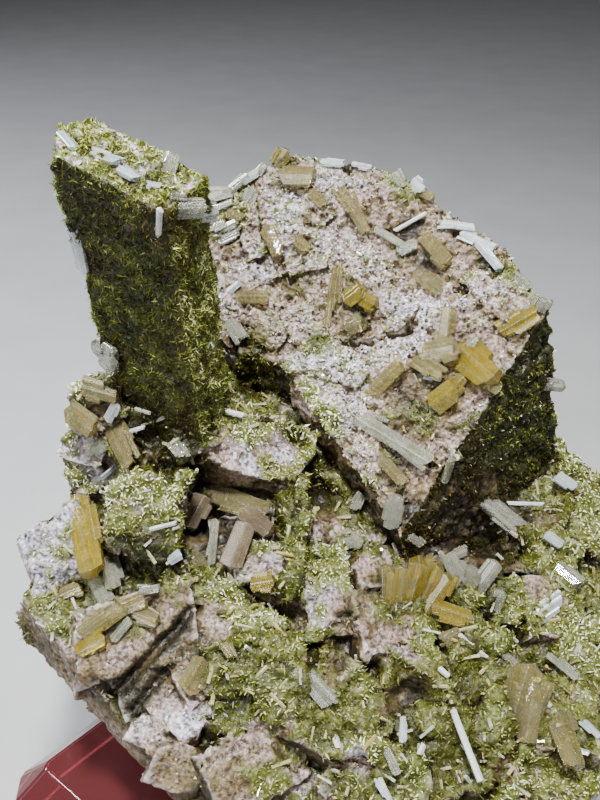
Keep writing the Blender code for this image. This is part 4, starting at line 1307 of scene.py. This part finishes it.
def matrixLook(spot, normal):
    moss, bright, tone = stainAndShadingAt(spot)
    # faces turned to the lower left get browner rock and darker crust: partly olive-tan rock, partly painted
    # shade
    rim = smoothStep(0.70, 0.90, normal.dot(lowerLeft))
    return moss + 0.06 * rim, bright - 0.1 * rim, tone + 1.1 * rim, 0.35 * (1 - rim)


def blockLook(spot, normal):
    moss, bright, tone = stainAndShadingAt(spot)
    facing = faceAxes @ normal
    if facing.z > 0.8:  # the sloping face
        return moss, bright, tone, 1.0
    # painted shade: the mossy side at the right is made darker
    if facing.x > 0.3 and facing.y < 0.25:  # the dark side at the right
        return moss + 0.75, bright - 0.50, tone, 0.1
    if facing.x < -0.3 and facing.y < 0.1:  # the brown edge at the left
        return moss - 0.25, bright, tone + 0.9, 0.15
    return moss + 0.35, bright + 0.25, tone, 0.3


def tallLook(spot, normal):
    moss, bright, tone = stainAndShadingAt(spot)
    if normal.z > 0.55:  # the sloping top, pale with mossy patches
        patch = noise.noise(spot / 1.3)
        bright += 0.3 * noise.noise(spot / 0.8) - 0.5 * max(patch, 0)
        return moss - 0.30 + 0.5 * patch, bright, tone - 0.4, 1.0
    # painted light on the right and left sides, which get brighter moss, and painted shade on the front,
    # which gets browner rock
    side = smoothStep(0.15, 0.75, normal.x + 0.25 * noise.noise(spot / 2.0))
    low = smoothStep(24.0, 2.0, spot.z)
    left = smoothStep(-0.35, -0.8, normal.x)
    streak = noise.noise(Vector((spot.x / 0.7, spot.y / 0.7, spot.z / 7.0)))
    patch = noise.noise(spot / 2.6 + Vector((4, 1, 8)))
    bright += 0.26 * side + 0.30 * left + 0.08 * low + (0.10 + 0.16 * side) * streak + 0.20 * patch - 0.28
    return moss, bright, tone + 0.45 * (1 - side) * (1 - left), 0.0


print("meshing the matrix")
matrixForms = [coreForm, *frontForms, *hiddenForms]
matrixMesh = fineMesh(unionOf(matrixForms, "matrix"), rockCells["matrix"], "matrix")
matrixLooks = [ownLooks["core"], *frontLooks, *hiddenLooks]
dressRock(matrixMesh, matrixForms, matrixLooks, reliefs["matrix"], matrixLook)
carve(matrixMesh, surfaceOf([coreForm, *frontForms]))
print("meshing the great block")
blockForms = [backSlab, frontSlab, *ledgeForms]
blockMesh = fineMesh(unionOf(blockForms, "block"), rockCells["block"], "block")
blockLooks = [ownLooks["block"]] * len(blockForms)
dressRock(blockMesh, blockForms, blockLooks, reliefs["block"], blockLook)
print("meshing the tall crystal")
tallCrystal = fineMesh(tallForm, rockCells["tall"], "tall")
dressRock(tallCrystal, [tallForm], [ownLooks["tall"]], reliefs["tall"], tallLook)

print("shading the crevices")
paintCreviceShade([matrixMesh, blockMesh, tallCrystal])
rock = rockFinish()
rockPieces = {
    "rock_matrix": newPiece("rock_matrix", matrixMesh, rock),
    "rock_great_block": newPiece("rock_great_block", blockMesh, rock),
    "rock_tall_crystal": newPiece("rock_tall_crystal", tallCrystal, rock),
}

print("growing the grains")
trees = {
    "grains": scatterTree("grains", grainShape, mossFinish()),
    "sugar": scatterTree("sugar", grainShape, sugarFinish()),
    "splinters": scatterTree("splinters", splinterShape, splinterFinish()),
}
grown = []
for name, carrier, kind, values in scatters:
    grown.append(scatter(name, rockPieces[carrier].data, trees[kind], values))

print("setting the crystals")
batches = {kind: bmesh.new() for kind in crystalFinishes}
for batch in batches.values():
    batch.loops.layers.uv.new("along")
    batch.faces.layers.float.new("faceShade")
    batch.faces.layers.float.new("rim")
chance = random.Random(seeds["crystals"])
for pixel, length, width, angle, rise, kind in blades:
    thickness = width * (1.0 if kind == "needle" else chance.uniform(*crystalHabit["flat"]))
    raised = Matrix.Translation((0, 0, crystalHabit["raised"] * width))
    place = seatOn(seats, pixel, angle, True) @ raised @ turned("Y", -rise)
    addCrystal(batches[kind], place, length, width, thickness, chance)
    if kind == "needle":
        continue
    for _ in range(chance.choice(crystalHabit["besides"])):
        share, slim = chance.uniform(*besideHabit["share"]), chance.uniform(*besideHabit["slim"])
        aside = chance.choice((-1, 1)) * width * chance.uniform(*besideHabit["aside"])
        slip = length * chance.uniform(-0.5, 0.5) * (1.15 - share)
        up = thickness * chance.uniform(*besideHabit["up"])
        swing = turned("Z", chance.gauss(0, besideHabit["turnSpread"]))
        roll = turned("X", chance.gauss(0, besideHabit["rollSpread"]))
        beside = place @ Matrix.Translation((slip, aside, up)) @ swing @ roll
        thin = thickness * slim * besideHabit["thicker"]
        addCrystal(batches[kind], beside, length * share, width * slim, thin, chance)
for kind, batch in batches.items():
    mesh = bpy.data.meshes.new("crystals_" + kind)
    batch.to_mesh(mesh)
    batch.free()
    grown.append(newPiece("crystals_" + kind, mesh, crystalFinish(kind)))

for piece in [*rockPieces.values(), *grown]:
    settle(piece, "epidote_cluster")
    print(piece.name, triangles(piece))


# The stand

def standPiece():
    bm = bmesh.new()
    bmesh.ops.create_cube(bm, size=1.0)
    bmesh.ops.scale(bm, vec=(stand["side"], stand["side"], stand["height"]), verts=bm.verts)
    bmesh.ops.translate(bm, vec=(0, 0, stand["height"] / 2), verts=bm.verts)
    upright = [e for e in bm.edges if abs(e.verts[0].co.z - e.verts[1].co.z) > 1]
    bmesh.ops.bevel(bm, geom=upright, offset=stand["cornerCut"], segments=1, affect="EDGES")
    top = [e for e in bm.edges if all(v.co.z > stand["height"] - 0.1 for v in e.verts)]
    bmesh.ops.bevel(bm, geom=top, offset=stand["bevel"], segments=1, affect="EDGES")
    bmesh.ops.bevel(bm, geom=bm.edges[:], offset=stand["softEdge"], segments=3, affect="EDGES")
    bmesh.ops.transform(bm, matrix=Matrix.Scale(mm, 4) @ turned("Z", stand["turn"]), verts=bm.verts)
    mesh = bpy.data.meshes.new("acrylic_block")
    bmesh.ops.recalc_face_normals(bm, faces=bm.faces)
    bm.to_mesh(mesh)
    bm.free()
    mesh.shade_smooth()
    mesh.set_sharp_from_angle(angle=math.radians(25))
    piece = newPiece("acrylic_block", mesh, acrylicFinish())
    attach(piece, "root")
    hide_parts("stand")


standPiece()


# Floor, light and camera

studio = {
    "floor": 3.0, "world": (0.86, 0.87, 0.90), "worldStrength": 0.11,
    "key": {"from": (0.02, -0.30, 0.95), "distance": 0.34, "size": 0.06, "power": 0.21, "spread": 60,
            "colour": (1.0, 0.99, 0.98)},
    "side": {"from": (0.88, -0.10, 0.42), "distance": 0.36, "size": 0.14, "power": 0.35,
             "colour": (1.0, 0.98, 0.94)},
    "rim": {"from": (-0.74, 0.26, 0.62), "distance": 0.40, "size": 0.16, "power": 1.9,
            "colour": (0.90, 0.94, 1.0)},
    "fill": {"from": (-0.45, -0.75, 0.50), "distance": 0.50, "size": 0.36, "power": 1.5,
             "colour": (0.97, 0.98, 1.0)},
}


def softLight(name, values):
    lamp = bpy.data.lights.new(name, "AREA")
    lamp.shape, lamp.size = "DISK", values["size"]
    lamp.energy, lamp.color = values["power"], values["colour"]
    lamp.spread = math.radians(values.get("spread", 180))
    item = bpy.data.objects.new(name, lamp)
    bpy.context.scene.collection.objects.link(item)
    aim = Vector(values["from"]).normalized()
    item.location = seatPoint * mm + aim * values["distance"]
    item.rotation_euler = aim.to_track_quat("Z", "Y").to_euler()


floorMesh = bpy.data.meshes.new("floor")
half = studio["floor"] / 2
corners = [(-half, -half, 0), (half, -half, 0), (half, half, 0), (-half, half, 0)]
floorMesh.from_pydata(corners, [], [(0, 1, 2, 3)])
newPiece("floor", floorMesh, floorFinish())
for name in ("key", "side", "rim", "fill"):
    softLight(name, studio[name])
world = bpy.data.worlds.new("studio")
world.use_nodes = True
world.node_tree.nodes["Background"].inputs["Color"].default_value = (*studio["world"], 1)
world.node_tree.nodes["Background"].inputs["Strength"].default_value = studio["worldStrength"]
bpy.context.scene.world = world

camera = bpy.data.objects.new("camera", bpy.data.cameras.new("camera"))
bpy.context.scene.collection.objects.link(camera)
camera.location = (seatPoint - viewForward * view["distance"]) * mm
camera.rotation_euler = (math.radians(90) - viewTilt, 0, 0)
camera.data.lens, camera.data.sensor_width = view["lens"], view["sensor"]
camera.data.clip_start = view["clipStart"] * mm
bpy.context.scene.camera = camera
bpy.context.scene.view_settings.look = "AgX - Medium High Contrast"

print("done")
